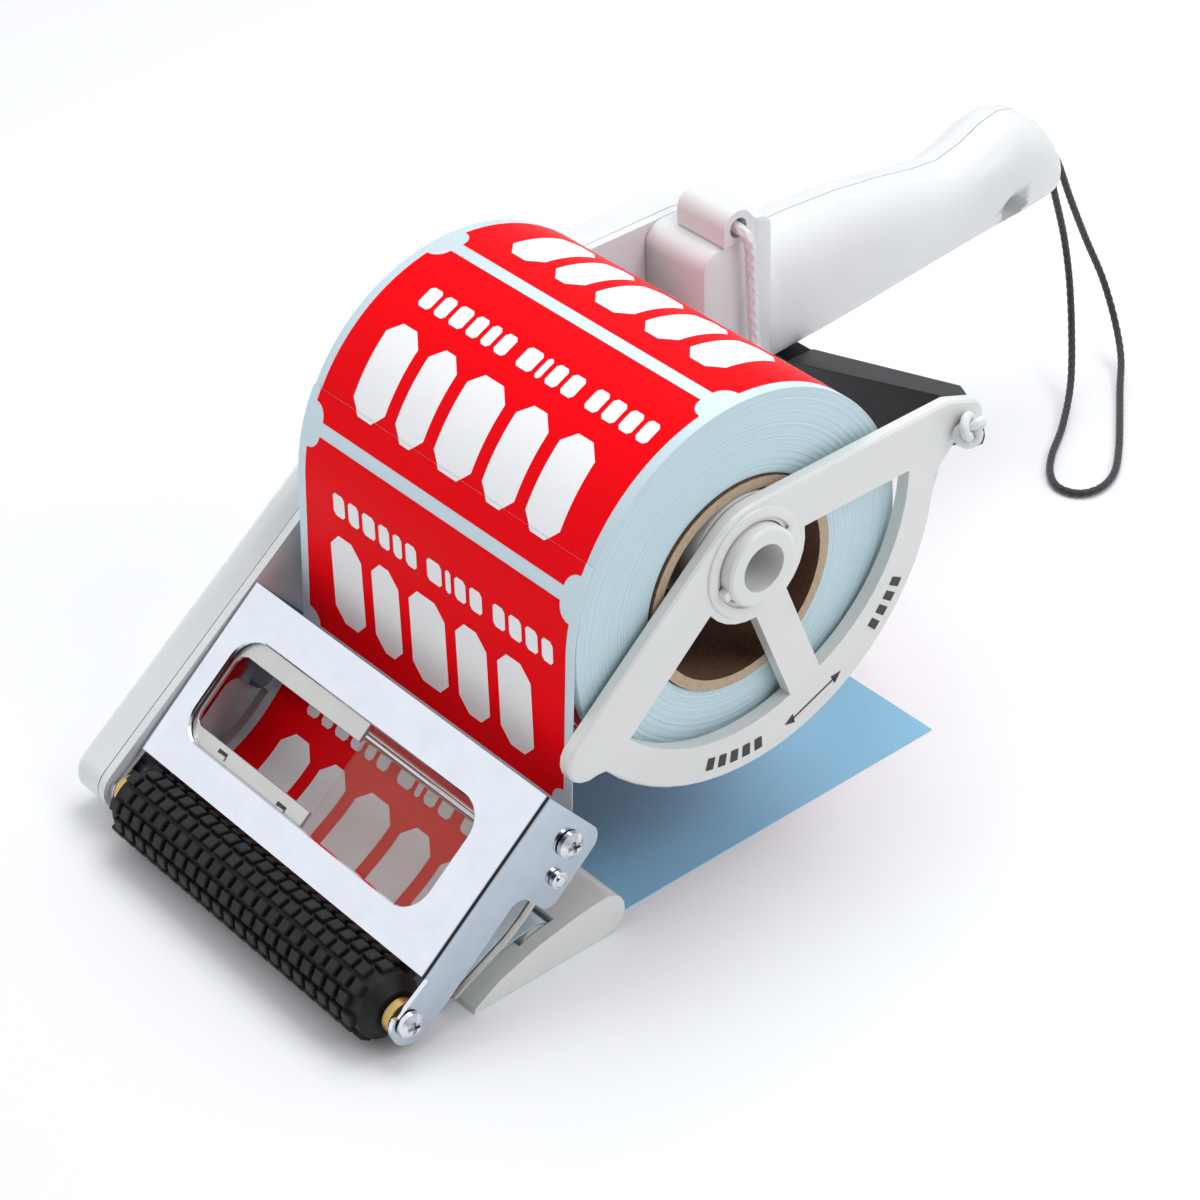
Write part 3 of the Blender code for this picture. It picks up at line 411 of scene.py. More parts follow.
# Look of each CAD node, and how far its sharp edges are eased in the finer copy
LOOKS = {
    "body_shell": ("shell", 0.0),
    "body_plate": ("shell", 0.3),
    "grip_near_half": ("shell", 0.0),
    "grip_far_half": ("shell", 0.0),
    "leash_guide": ("shell", 0.7),
    "spindle": ("white", 0.3),
    "roll_holder": ("white", 0.0),
    "front_foot": ("white", 1.2),
    "side_cheek": ("grey", 0.3),
    "roll_flange": ("black", 0.3),
    "guard_arm": ("black", 0.35),
    "clear_guide": ("clear", 0.2),
    "label_guide": ("steel", 0.25),
    "peel_plate": ("steel", 0.0),
    "roll_core": ("board", 0.0),
    "guide_rivet": ("clear", 0.2),
    "bushing_near": ("brass", 0.0),
    "bushing_far": ("brass", 0.0),
    "roller_shaft": ("steel", 0.0),
    "roller_screw": ("screw", 0.0),
    "frame_screw_near": ("screw", 0.0),
    "frame_screw_far": ("screw", 0.0),
    "press_rod": ("screw", 0.0),
    "pinch_shaft": ("steel", 0.0),
    "spindle_screw": ("screw", 0.0),
    "spent_liner": ("liner", 0.0),
    "feed_roller": ("silicone", 0.0),
    "pinch_roller": ("silicone", 0.0),
    "feed_shaft": ("steel", 0.0),
    "roller_gear": ("gear", 0.0),
    "idler_gear_1": ("gear", 0.0),
    "idler_gear_2": ("gear", 0.0),
    "idler_gear_3": ("gear", 0.0),
    "feed_gear": ("gear", 0.0),
    "guard_screw_1": ("steel", 0.0),
    "guard_screw_2": ("steel", 0.0),
    "grip_screw_1": ("steel", 0.0),
    "grip_screw_2": ("steel", 0.0),
    "body_screw_1": ("steel", 0.0),
    "body_screw_2": ("steel", 0.0),
    "body_screw_3": ("steel", 0.0),
    "body_screw_4": ("steel", 0.0),
}
KEPT = (
    "feed_shaft", "roller_gear", "idler_gear_1", "idler_gear_2", "idler_gear_3", "feed_gear",
    "spent_liner",
)


def dress_nodes():
    for node, (look, _) in LOOKS.items():
        slots = NODES[node].data.materials
        slots.clear()
        slots.append(MATERIALS[look])


# ---------------------------------------------------------------- mesh helpers


def piece(name, bm, looks, body, smooth=35, recalc=True):
    """Object from a bmesh in design millimetres, riding on a body."""
    if recalc:
        bmesh.ops.recalc_face_normals(bm, faces=bm.faces)
    for vertex in bm.verts:
        vertex.co = at(*vertex.co)
    mesh = bpy.data.meshes.new(name)
    bm.to_mesh(mesh)
    bm.free()
    mesh.shade_smooth()
    mesh.set_sharp_from_angle(angle=math.radians(smooth))
    for look in looks:
        mesh.materials.append(MATERIALS[look])
    made = bpy.data.objects.new(name, mesh)
    bpy.context.scene.collection.objects.link(made)
    if body:
        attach(made, body)
    return made


def skin(bm, loops, closed=False, caps=True, look=0):
    """Quads through closed loops of points."""
    rings = [[bm.verts.new(point) for point in loop] for loop in loops]
    count = len(rings[0])
    pairs = list(zip(rings, rings[1:])) + ([(rings[-1], rings[0])] if closed else [])
    for ring, following in pairs:
        for i in range(count):
            j = (i + 1) % count
            face = bm.faces.new((ring[i], ring[j], following[j], following[i]))
            face.material_index = look
    if caps and not closed:
        bm.faces.new(rings[0]).material_index = look
        bm.faces.new(rings[-1]).material_index = look
    return rings


def circle(x, centre, radius, segments):
    turns = (2 * math.pi * i / segments for i in range(segments))
    return [(x, centre[0] + radius * math.cos(a), centre[1] + radius * math.sin(a)) for a in turns]


def turned(bm, profile, centre, segments=48, closed=False, look=0):
    """Profile of (x, radius) spun about a line parallel to X."""
    return skin(bm, [circle(x, centre, r, segments) for x, r in profile], closed, True, look)


def catmull_rom(route, step):
    """Points about step apart on a smooth curve through the route."""
    spots = [Vector(point) for point in route]
    padded = [2 * spots[0] - spots[1], *spots, 2 * spots[-1] - spots[-2]]
    points = []
    for a, b, c, d in zip(padded, padded[1:], padded[2:], padded[3:]):
        pieces = max(1, round((c - b).length / step))
        for i in range(pieces):
            t = i / pieces
            cubic = -a + 3 * b - 3 * c + d
            square = 2 * a - 5 * b + 4 * c - d
            points.append((2 * b + (c - a) * t + square * t * t + cubic * t**3) / 2)
    return points + [spots[-1]]


def frames_along(points):
    """(point, side, up) at each point, turned as little as possible from one to the next."""
    made, side = [], None
    for i, point in enumerate(points):
        way = (points[min(i + 1, len(points) - 1)] - points[max(i - 1, 0)]).normalized()
        if side is None:
            side = way.orthogonal().normalized()
        side = (side - way * side.dot(way)).normalized()
        made.append((point, side, way.cross(side)))
    return made


def braid(name, route, diameter, look, strands, lay):
    """Tube whose surface rises and falls as crossing strands: lay is the length of one turn."""
    points = catmull_rom(route, lay / 16)
    around = 8 * strands
    bm = bmesh.new()
    loops, travelled, last = [], 0.0, points[0]
    for point, side, up in frames_along(points):
        travelled += (point - last).length
        last = point
        twist = 4 * math.pi * travelled / lay
        loop = []
        for i in range(around):
            angle = 2 * math.pi * i / around
            ridge = max(math.cos(strands * angle + twist), math.cos(strands * angle - twist))
            radius = diameter / 2 * (0.87 + 0.13 * ridge)
            loop.append(point + side * radius * math.cos(angle) + up * radius * math.sin(angle))
        loops.append(loop)
    skin(bm, loops)
    return piece(name, bm, (look,), None, 60)


# ---------------------------------------------------------------- camera, light and floor


def make_camera():
    """View from the near side and front, looking down at the tool."""
    azimuth, elevation, roll = (math.radians(angle) for angle in CAMERA_TURN)
    right = Vector((math.cos(azimuth), math.sin(azimuth), 0))
    level = Vector((math.sin(azimuth), -math.cos(azimuth), 0))
    back = level * math.cos(elevation) + Vector((0, 0, math.sin(elevation)))
    up = back.cross(right)
    turned_right = right * math.cos(roll) + up * math.sin(roll)
    turned_up = up * math.cos(roll) - right * math.sin(roll)
    data = bpy.data.cameras.new("camera")
    data.sensor_width = 36
    data.lens = CAMERA_LENS
    data.clip_start = 0.01
    camera = bpy.data.objects.new("camera", data)
    matrix = Matrix((turned_right, turned_up, back)).transposed().to_4x4()
    matrix.translation = at(*CAMERA_PLACE)
    camera.matrix_world = matrix
    bpy.context.scene.collection.objects.link(camera)
    bpy.context.scene.camera = camera


def area_light(name, place, target, size, power, colour=(1, 1, 1)):
    data = bpy.data.lights.new(name, "AREA")
    data.shape = "RECTANGLE"
    data.size, data.size_y = size
    data.energy = power
    data.color = colour
    light = bpy.data.objects.new(name, data)
    light.location = at(*place)
    light.rotation_euler = (at(*target) - light.location).to_track_quat("-Z", "Y").to_euler()
    bpy.context.scene.collection.objects.link(light)


def make_world():
    """Even studio walls, with the dim end of the room where the camera stands."""
    world = bpy.data.worlds.new("studio")
    world.use_nodes = True
    tree = world.node_tree
    coords = tree.nodes.new("ShaderNodeTexCoord")
    facing = tree.nodes.new("ShaderNodeVectorMath")
    facing.operation = "DOT_PRODUCT"
    facing.inputs[1].default_value = DIM_END
    tree.links.new(coords.outputs["Generated"], facing.inputs[0])
    dim = tree.nodes.new("ShaderNodeMapRange")
    dim.interpolation_type = "SMOOTHSTEP"
    dim.inputs["From Min"].default_value = 0.8
    dim.inputs["From Max"].default_value = 0.96
    dim.inputs["To Min"].default_value = WORLD_STRENGTH
    dim.inputs["To Max"].default_value = DIM_STRENGTH
    tree.links.new(facing.outputs["Value"], dim.inputs["Value"])
    background = tree.nodes["Background"]
    background.inputs["Color"].default_value = (0.93, 0.96, 1.0, 1.0)
    tree.links.new(dim.outputs["Result"], background.inputs["Strength"])
    bpy.context.scene.world = world


def make_stage():
    n = Nodes("pale_floor")
    n.set(Base_Color=(0.93, 0.93, 0.94, 1.0), Roughness=0.6)
    bm = bmesh.new()
    reach = 3000
    corners = ((-reach, -reach), (reach, -reach), (reach, reach), (-reach, reach))
    bm.faces.new([bm.verts.new((x, y, TABLE - 0.05)) for x, y in corners])
    for vertex in bm.verts:
        vertex.co = at(*vertex.co)
    mesh = bpy.data.meshes.new("floor")
    bm.to_mesh(mesh)
    bm.free()
    mesh.materials.append(n.material)
    floor = bpy.data.objects.new("floor", mesh)
    bpy.context.scene.collection.objects.link(floor)
    make_world()
    bpy.context.scene.view_settings.view_transform = "Standard"
    area_light("key", (-560, -500, 480), (0, -30, -30), (1.3, 1.3), 1.9, (1.0, 0.99, 0.97))
    area_light("top", (-120, 320, 760), (0, 40, -20), (0.6, 0.6), 3.8)
    area_light("side", (620, 240, 620), (0, 0, -20), (0.5, 0.4), 2.2, (0.92, 0.96, 1.0))


# ---------------------------------------------------------------- cords

LEASH_DIAMETER = 3.2
LEASH_ROUTE = (
    (-56.0, 79.2, 23.9),
    (-56.0, 79.2, 26.2),
    (-54.6, 79.2, 27.8),
    (-50.0, 79.2, 27.9),
    (-42.0, 79.2, 27.9),
    (-35.6, 79.2, 27.9),
    (-32.4, 79.6, 26.6),
    (-31.4, 80.2, 23.0),
    (-31.6, 80.8, 14.0),
    (-31.2, 81.0, 2.0),
    (-29.4, 80.6, -10.0),
    (-25.0, 79.0, -22.0),
    (-17.0, 76.4, -32.0),
    (-6.0, 73.4, -38.4),
    (7.0, 71.0, -40.4),
    (20.0, 69.8, -37.6),
    (32.0, 69.6, -30.0),
    (40.6, 69.8, -19.0),
    (45.6, 70.0, -7.0),
    (48.4, 69.6, 5.0),
    (49.6, 68.6, 12.4),
    (51.2, 68.1, 15.9),
    (54.0, 68.0, 16.6),
)
WRIST_DIAMETER = 2.2
WRIST_ROUTE = (
    (-49.2, 207.8, -3.6),
    (-49.2, 211.6, -4.0),
    (-49.4, 216.6, -11.0),
    (-49.2, 222.6, -25.0),
    (-48.4, 229.6, -41.0),
    (-45.4, 234.6, -55.0),
    (-40.0, 235.0, -67.0),
    (-32.4, 230.2, -74.4),
    (-23.6, 220.6, -77.7),
    (-12.4, 208.4, -78.2),
    (-2.6, 197.4, -78.2),
    (4.8, 187.6, -78.2),
    (7.6, 179.0, -78.2),
    (5.6, 172.4, -78.2),
    (-0.4, 170.2, -78.2),
    (-6.8, 173.4, -78.2),
    (-13.4, 181.0, -78.2),
    (-21.6, 194.0, -78.0),
    (-31.0, 207.0, -73.6),
    (-39.4, 215.6, -63.6),
    (-45.0, 219.6, -50.0),
    (-48.0, 219.4, -36.0),
    (-49.2, 215.6, -20.6),
    (-49.2, 211.8, -9.4),
    (-49.2, 207.8, -8.6),
)
LEASH_HOLE = (68.0, 16.6)


def declare_cord(tube, node, body):
    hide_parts(node)
    if body:
        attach(tube, body)


def make_knot():
    """Overhand knot on the holder's outer face, and the cord through its hole."""
    near = span_of("roll_holder")[1].x
    far = span_of("leash_knot")[1].x
    y, z = LEASH_HOLE
    loops = []
    count = 150
    for i in range(count):
        t = 2 * math.pi * i / count
        reach = 2.1 + 0.95 * math.cos(3 * t)
        depth = (near + far) / 2 + 0.1 + 1.5 * math.sin(3 * t)
        across, rise = 1.25 * reach * math.cos(2 * t), 1.2 * reach * math.sin(2 * t)
        loops.append(Vector((depth, y + across, z + rise)))
    bm = bmesh.new()
    rings = []
    for i, point in enumerate(loops):
        way = (loops[(i + 1) % count] - loops[i - 1]).normalized()
        side = (Vector((1, 0, 0)) - way * way.x).normalized()
        up = way.cross(side)
        ring = []
        for k in range(12):
            angle = 2 * math.pi * k / 12
            plait = math.cos(3 * angle + i * 0.42) * math.cos(3 * angle - i * 0.42)
            radius = 1.25 * (0.95 + 0.09 * plait)
            ring.append(point + side * radius * math.cos(angle) + up * radius * math.sin(angle))
        rings.append(ring)
    skin(bm, rings, closed=True)
    turned(bm, [(54.8, 1.5), (near + 1.0, 1.5)], LEASH_HOLE, 14)
    knot = piece("leash_overhand_knot", bm, ("white_cord",), "holder", 60)
    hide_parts("leash_knot")
    return knot


def make_cords():
    knot = make_knot()
    leash = braid("leash_braid", LEASH_ROUTE, LEASH_DIAMETER, "white_cord", 4, 7.0)
    declare_cord(leash, "leash_cord", None)
    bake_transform(leash, "housing", "holder", start=at(10, 72, -20), end=at(52, 68, 16))
    wrist = braid("wrist_braid", WRIST_ROUTE, WRIST_DIAMETER, "black_cord", 3, 5.0)
    declare_cord(wrist, "wrist_cord", "housing")


# ---------------------------------------------------------------- roll, web and labels

LABEL_PITCH = 58.7
LABEL_LENGTH = 55.0
LABEL_HALF_WIDTH = 50.0
NOTCH = 4.2
FIRST_GAP = -14.0
SPLIT = -math.radians(LEAVE_ANGLE - WEB_START_ANGLE) * ROLL_RADIUS


def roll_surface(travel, lift):
    """(y, z) on the roll at a distance along the web, counted from where the web leaves it."""
    angle = math.radians(LEAVE_ANGLE) + travel / ROLL_RADIUS
    radius = ROLL_RADIUS + lift
    return (radius * math.cos(angle), radius * math.sin(angle))


def web_rise(travel):
    """Height of the web's outer side over the wound roll, before it leaves the roll."""
    return WEB_RISE + (START_RISE - WEB_RISE) * travel / SPLIT


def web_path():
    """(distance, point, heading) along the web from the roll to the peel edge."""
    start = Vector(roll_surface(0.0, WEB_RISE - WEB_SHEET / 2))
    straight = [start.lerp(Vector(WEB_ROUTE[0]), share) for share in (0.0, 0.35, 0.7, 0.9)]
    points = [p.yz for p in catmull_rom([(0.0, *p) for p in (*straight, *WEB_ROUTE)], 1.0)]
    path, travelled = [], 0.0
    for i, point in enumerate(points):
        before, after = points[max(i - 1, 0)], points[min(i + 1, len(points) - 1)]
        if i:
            travelled += (point - before).length
        path.append((travelled, point, (after - before).normalized()))
    return path


WEB_PATH = web_path()
WEB_LENGTH = WEB_PATH[-1][0]


def web_surface(travel, lift):
    """The same on the web: round the roll, then down to the peel edge."""
    if travel <= 0:
        return roll_surface(travel, lift + web_rise(travel))
    for (d0, p0, way0), (d1, p1, way1) in zip(WEB_PATH, WEB_PATH[1:]):
        if travel <= d1:
            break
    share = min(1.0, (travel - d0) / (d1 - d0))
    way = way0.lerp(way1, share).normalized()
    return tuple(p0.lerp(p1, share) + Vector((way.y, -way.x)) * (lift + WEB_SHEET / 2))


def label_outline(half, length, notch):
    """Label with scooped corners, as (x, distance along) points."""
    points = []
    for x, v, start in ((half, 0, 180), (half, length, 270), (-half, length, 360), (-half, 0, 90)):
        for i in range(7):
            angle = math.radians(start - 15 * i)
            points.append((x + notch * math.cos(angle), v + notch * math.sin(angle)))
    return points


def block(x, v, width, height, lean=0.0, corner=0.0):
    """Four-sided print mark, or one with cut corners."""
    c = min(corner, width / 3, height / 3)
    raw = [(-width / 2 + c, -height / 2), (width / 2 - c, -height / 2), (width / 2, -height / 2 + c)]
    raw += [(width / 2, height / 2 - c), (width / 2 - c, height / 2), (-width / 2 + c, height / 2)]
    raw += [(-width / 2, height / 2 - c), (-width / 2, -height / 2 + c)]
    return [(x + px + lean * py, v + py) for px, py in raw]


def label_marks():
    """Generic print: five heavy blocks over three groups of small bars."""
    marks = []
    x = -40.0
    for width in (13.6, 12.0, 15.2, 13.0, 13.6):
        marks.append(block(x + width / 2, 36.0, width - 1.2, 25.0, 0.08, 3.6))
        x += width + 2.9
    x = -38.5
    for width in (4.6, 4.2, 5.0, 4.2, 3.4, 4.2, 0, 5.6, 2.0, 4.2, 4.6, 0, 4.4, 4.6, 4.4, 4.0):
        if width:
            marks.append(block(x + width / 2, 14.6, width, 6.2, 0.06, 0.9))
        x += width + (1.5 if width else 2.6)
    return marks


def lay_shape(bm, outline, start, surface, lift, look, low, high):
    """One flat shape wrapped on a surface, kept between two distances along it."""
    flat = bmesh.new()
    flat.faces.new([flat.verts.new((x, start + v, 0)) for x, v in outline])
    step = 1.6
    distances = [v.co.y for v in flat.verts]
    cut = math.floor(min(distances) / step) * step
    while cut < max(distances):
        geometry = flat.verts[:] + flat.edges[:] + flat.faces[:]
        bmesh.ops.bisect_plane(flat, geom=geometry, plane_co=(0, cut, 0), plane_no=(0, 1, 0))
        cut += step
    for limit, side in ((low, 1), (high, -1)):
        geometry = flat.verts[:] + flat.edges[:] + flat.faces[:]
        bmesh.ops.bisect_plane(
            flat, geom=geometry, plane_co=(0, limit, 0), plane_no=(0, side, 0), clear_inner=True
        )
    bmesh.ops.triangulate(flat, faces=[f for f in flat.faces if len(f.verts) > 4])
    where = {}
    for vertex in flat.verts:
        y, z = surface(vertex.co.y, lift)
        where[vertex] = bm.verts.new((vertex.co.x, y, z))
    for face in flat.faces:
        made = bm.faces.new([where[v] for v in face.verts])
        made.material_index = look
    flat.free()


def face_outwards(bm):
    """Turns each face so that it looks away from the roll or out of the frame."""
    for face in bm.faces:
        face.normal_update()
        centre = face.calc_center_median()
        on_roll = centre.yz.length < ROLL_RADIUS + 1.2 or centre.z > 0
        out = Vector((0, centre.y, centre.z)) if on_roll else Vector((0, -1, 0.75))
        if face.normal.dot(out) < 0:
            face.normal_flip()


def make_labels(name, surface, low, high, body):
    """All labels whose distance along falls between low and high."""
    bm = bmesh.new()
    marks = label_marks()
    first = math.floor((low - FIRST_GAP) / LABEL_PITCH)
    last = math.ceil((high - FIRST_GAP) / LABEL_PITCH)
    outline = label_outline(LABEL_HALF_WIDTH, LABEL_LENGTH, NOTCH)
    layers = [(outline, 0.05, 0)] + [(mark, 0.09, 1) for mark in marks]
    for number in range(first, last):
        start = FIRST_GAP + number * LABEL_PITCH + (LABEL_PITCH - LABEL_LENGTH) / 2
        for shape, height, look in layers:
            spread = [start + v for _, v in shape]
            if max(spread) > low + 0.1 and min(spread) < high - 0.1:
                lay_shape(bm, shape, start, surface, height, look, low, high)
    face_outwards(bm)
    piece(name, bm, ("red", "print"), body, 40, recalc=False)


def make_roll():
    """Wound roll: an even outer turn and end faces that show each few turns as a fine step."""
    low, high = span_of("label_roll")
    bore = span_of("roll_core")[1].z + 0.3
    profile = [(high.x, ROLL_RADIUS - 0.15), (high.x - 0.15, ROLL_RADIUS), (low.x + 0.15, ROLL_RADIUS)]
    profile.append((low.x, ROLL_RADIUS - 0.15))
    turns = 44
    rim = ROLL_RADIUS - 0.3
    radii = [rim - (rim - bore) * i / turns for i in range(turns + 1)]
    for i, radius in enumerate(radii):
        profile.append((low.x + 0.16 * (0.5 + 0.5 * math.sin(i * 2.4)), radius))
    for i in range(turns, -1, -1):
        profile.append((high.x - 0.22 * (0.5 + 0.5 * math.sin(i * 1.9)) - 0.02, radii[i]))
    bm = bmesh.new()
    turned(bm, profile, (0, 0), 128, closed=True)
    bm.faces.ensure_lookup_table()
    for face in bm.faces:
        xs = [v.co.x for v in face.verts]
        outside = max(xs) - min(xs) > 50 and face.calc_center_median().yz.length > 45
        face.material_index = 1 if outside else 0
    roll = piece("wound_roll", bm, ("wound", "backing"), "roll", 50)
    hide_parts("label_roll")
    make_labels("roll_labels", roll_surface, SPLIT - 2 * math.pi * ROLL_RADIUS + 14.0, SPLIT, "roll")


def make_web():
    """Backing from the roll to the peel edge, round it, and back over the feed roller."""
    outer, halves = [], []
    for i in range(8):
        travel = SPLIT * (1 - i / 8)
        halves.append(min(WEB_SHEET, web_rise(travel) - LABEL_ROOM) / 2)
        outer.append(web_surface(travel, -halves[-1]))
    outer += [tuple(point) for _, point, _ in WEB_PATH]
    _, edge, way = WEB_PATH[-1]
    under = Vector((-way.y, way.x))
    for i in range(1, 8):
        angle = math.pi * i / 8
        turned_down = under * (1 - math.cos(angle)) + way * math.sin(angle)
        outer.append(tuple(edge + turned_down * TURN_RADIUS))
    back = [item for item in WEB_PATH if item[0] > WEB_LENGTH - RETURN_RUN][::-1]
    outer += [tuple(point + Vector((-turn.y, turn.x)) * 2 * TURN_RADIUS) for _, point, turn in back]
    feed = axis_of("feed_spin")
    wrap = (span_of("feed_roller")[1].z - span_of("feed_roller")[0].z) / 2 + 0.45
    reach = Vector(outer[-1]) - Vector(feed)
    start = math.atan2(reach.y, reach.x) % math.tau - math.acos(wrap / reach.length)
    for i in range(17):
        angle = start * (1 - i / 16)
        outer.append((feed[0] + wrap * math.cos(angle), feed[1] + wrap * math.sin(angle)))
    outer.append((feed[0] + wrap, WEB_FOOT))
    halves += [WEB_SHEET / 2] * (len(outer) - len(halves))
    sides = ([], [])
    for i, (point, half_sheet) in enumerate(zip(outer, halves)):
        before, after = outer[max(0, i - 1)], outer[min(len(outer) - 1, i + 1)]
        way = Vector((after[0] - before[0], after[1] - before[1])).normalized()
        across = Vector((-way.y, way.x)) * half_sheet
        sides[0].append((point[0] + across.x, point[1] + across.y))
        sides[1].append((point[0] - across.x, point[1] - across.y))
    ring = sides[0] + sides[1][::-1]
    bm = bmesh.new()
    rows = [[bm.verts.new((x, y, z)) for y, z in ring] for x in (-SHEET_HALF, SHEET_HALF)]
    count, half = len(ring), len(outer)
    for i in range(count):
        j = (i + 1) % count
        bm.faces.new((rows[0][i], rows[0][j], rows[1][j], rows[1][i]))
    for row in rows:
        for i in range(half - 1):
            bm.faces.new((row[i], row[i + 1], row[count - 2 - i], row[count - 1 - i]))
    web = piece("label_backing_web", bm, ("backing",), "housing", 40)
    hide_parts("label_web")
    make_labels("web_labels", web_surface, SPLIT, WEB_LENGTH - 0.3, "housing")


# ---------------------------------------------------------------- studded roller


def make_studded_roller():
    """Rubber sleeve with rows of square studs, each row half a pitch from the next."""
    low, high = span_of("roller_sleeve")
    ground, top = 8.7, (high.z - low.z) / 2
    half = high.x
    bm = bmesh.new()
    ends = ((0.0, 3.4), (0.0, 5.8), (0.5, 6.3), (2.6, ground))
    profile = [(inset - half, radius) for inset, radius in ends]
    profile += [(half - inset, radius) for inset, radius in reversed(ends)]
    turned(bm, profile, ROLLER_AXIS, 84, closed=True, look=1)
    rows, pitch, stud = 14, 4.7, 3.3
    number = int((2 * half - 5.0) / pitch)
    for row in range(rows):
        middle = 2 * math.pi * row / rows
        offset = pitch / 2 if row % 2 else 0.0
        for i in range(number):
            x = -half + 3.0 + stud / 2 + i * pitch + offset
            if x + stud / 2 > half - 1.2:
                continue
            add_stud(bm, x, middle, stud, ground - 0.4, top)
    made = piece("studded_sleeve", bm, ("rubber", "roller_core"), "roller", 25)
    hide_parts("roller_sleeve")


def add_stud(bm, x, middle, width, low, top):
    """Square stud with eased top edges, standing on the sleeve."""
    half = width / 2
    loops = []
    for radius, scale in ((low, 1.06), (top - 0.28, 1.0), (top, 0.84)):
        reach = half * scale
        loop = []
        for dx, da in ((-1, -1), (1, -1), (1, 1), (-1, 1)):
            angle = middle + da * reach / top
            loop.append((
                x + dx * reach,
                ROLLER_AXIS[0] + radius * math.cos(angle),
                ROLLER_AXIS[1] + radius * math.sin(angle),
            ))
        loops.append(loop)
    skin(bm, loops, look=0)


# ---------------------------------------------------------------- front frame and holder details


WINDOW_NEAR, WINDOW_FAR = 44.6, -49.6
WINDOW_TOP, WINDOW_FOOT = 11.2, 41.2
WINDOW_CORNER = 7.5
ARC_STEPS = 8
METAL = 1.2
FOLD = 1.7
FOLD_STEPS = 6
FLANGE_EAR = (
    ((60.9, 5.7), 5.9, -78, 78),
    ((27.0, 16.4), 4.5, 268, 205),
    ((19.2, 21.2), 3.7, 8, 96),
    ((4.6, 20.0), 4.6, 96, 176),
)


def window_corners(near, far):
    """Corner of the face, centre of the window's corner and first angle, as (x, s)."""
    inset = WINDOW_CORNER
    return (
        ((near, FACE_LENGTH), (WINDOW_NEAR - inset, WINDOW_FOOT - inset), 0),
        ((far, FACE_LENGTH), (WINDOW_FAR + inset, WINDOW_FOOT - inset), 90),
        ((far, 0.0), (WINDOW_FAR + inset, WINDOW_TOP + inset), 180),
        ((near, 0.0), (WINDOW_NEAR - inset, WINDOW_TOP + inset), 270),
    )


def window_edge(grow, corners):
    points = []
    for _, (x, s), start in corners:
        for i in range(ARC_STEPS + 1):
            angle = math.radians(start + 90 * i / ARC_STEPS)
            reach = WINDOW_CORNER + grow
            points.append((x + reach * math.cos(angle), s + reach * math.sin(angle)))
    return points


def face_edge(corners):
    """Points on the face's outline, one for each point of the window's edge."""
    points = []
    for (edge_x, edge_s), (x, s), start in corners:
        for i in range(ARC_STEPS + 1):
            share = min(2 * i / ARC_STEPS, 1.0)
            rest = max(2 * i / ARC_STEPS - 1, 0.0)
            if start in (90, 270):
                points.append((x + (edge_x - x) * share, edge_s + (s - edge_s) * rest))
            else:
                points.append((edge_x + (x - edge_x) * rest, s + (edge_s - s) * share))
    return points


def sheet_metal(bm, faces, outer, inner):
    """Closed sheet from faces of keys: both sides, and a wall along every free edge."""
    places = [{key: bm.verts.new(side[key]) for key in outer} for side in (outer, inner)]
    used = {}
    for face in faces:
        for side in places:
            bm.faces.new([side[key] for key in face])
        for pair in zip(face, face[1:] + face[:1]):
            edge = tuple(sorted(pair, key=str))
            used[edge] = used.get(edge, 0) + 1
    top, under = places
    for (a, b), times in used.items():
        if times == 1:
            bm.faces.new((top[a], top[b], under[b], under[a]))


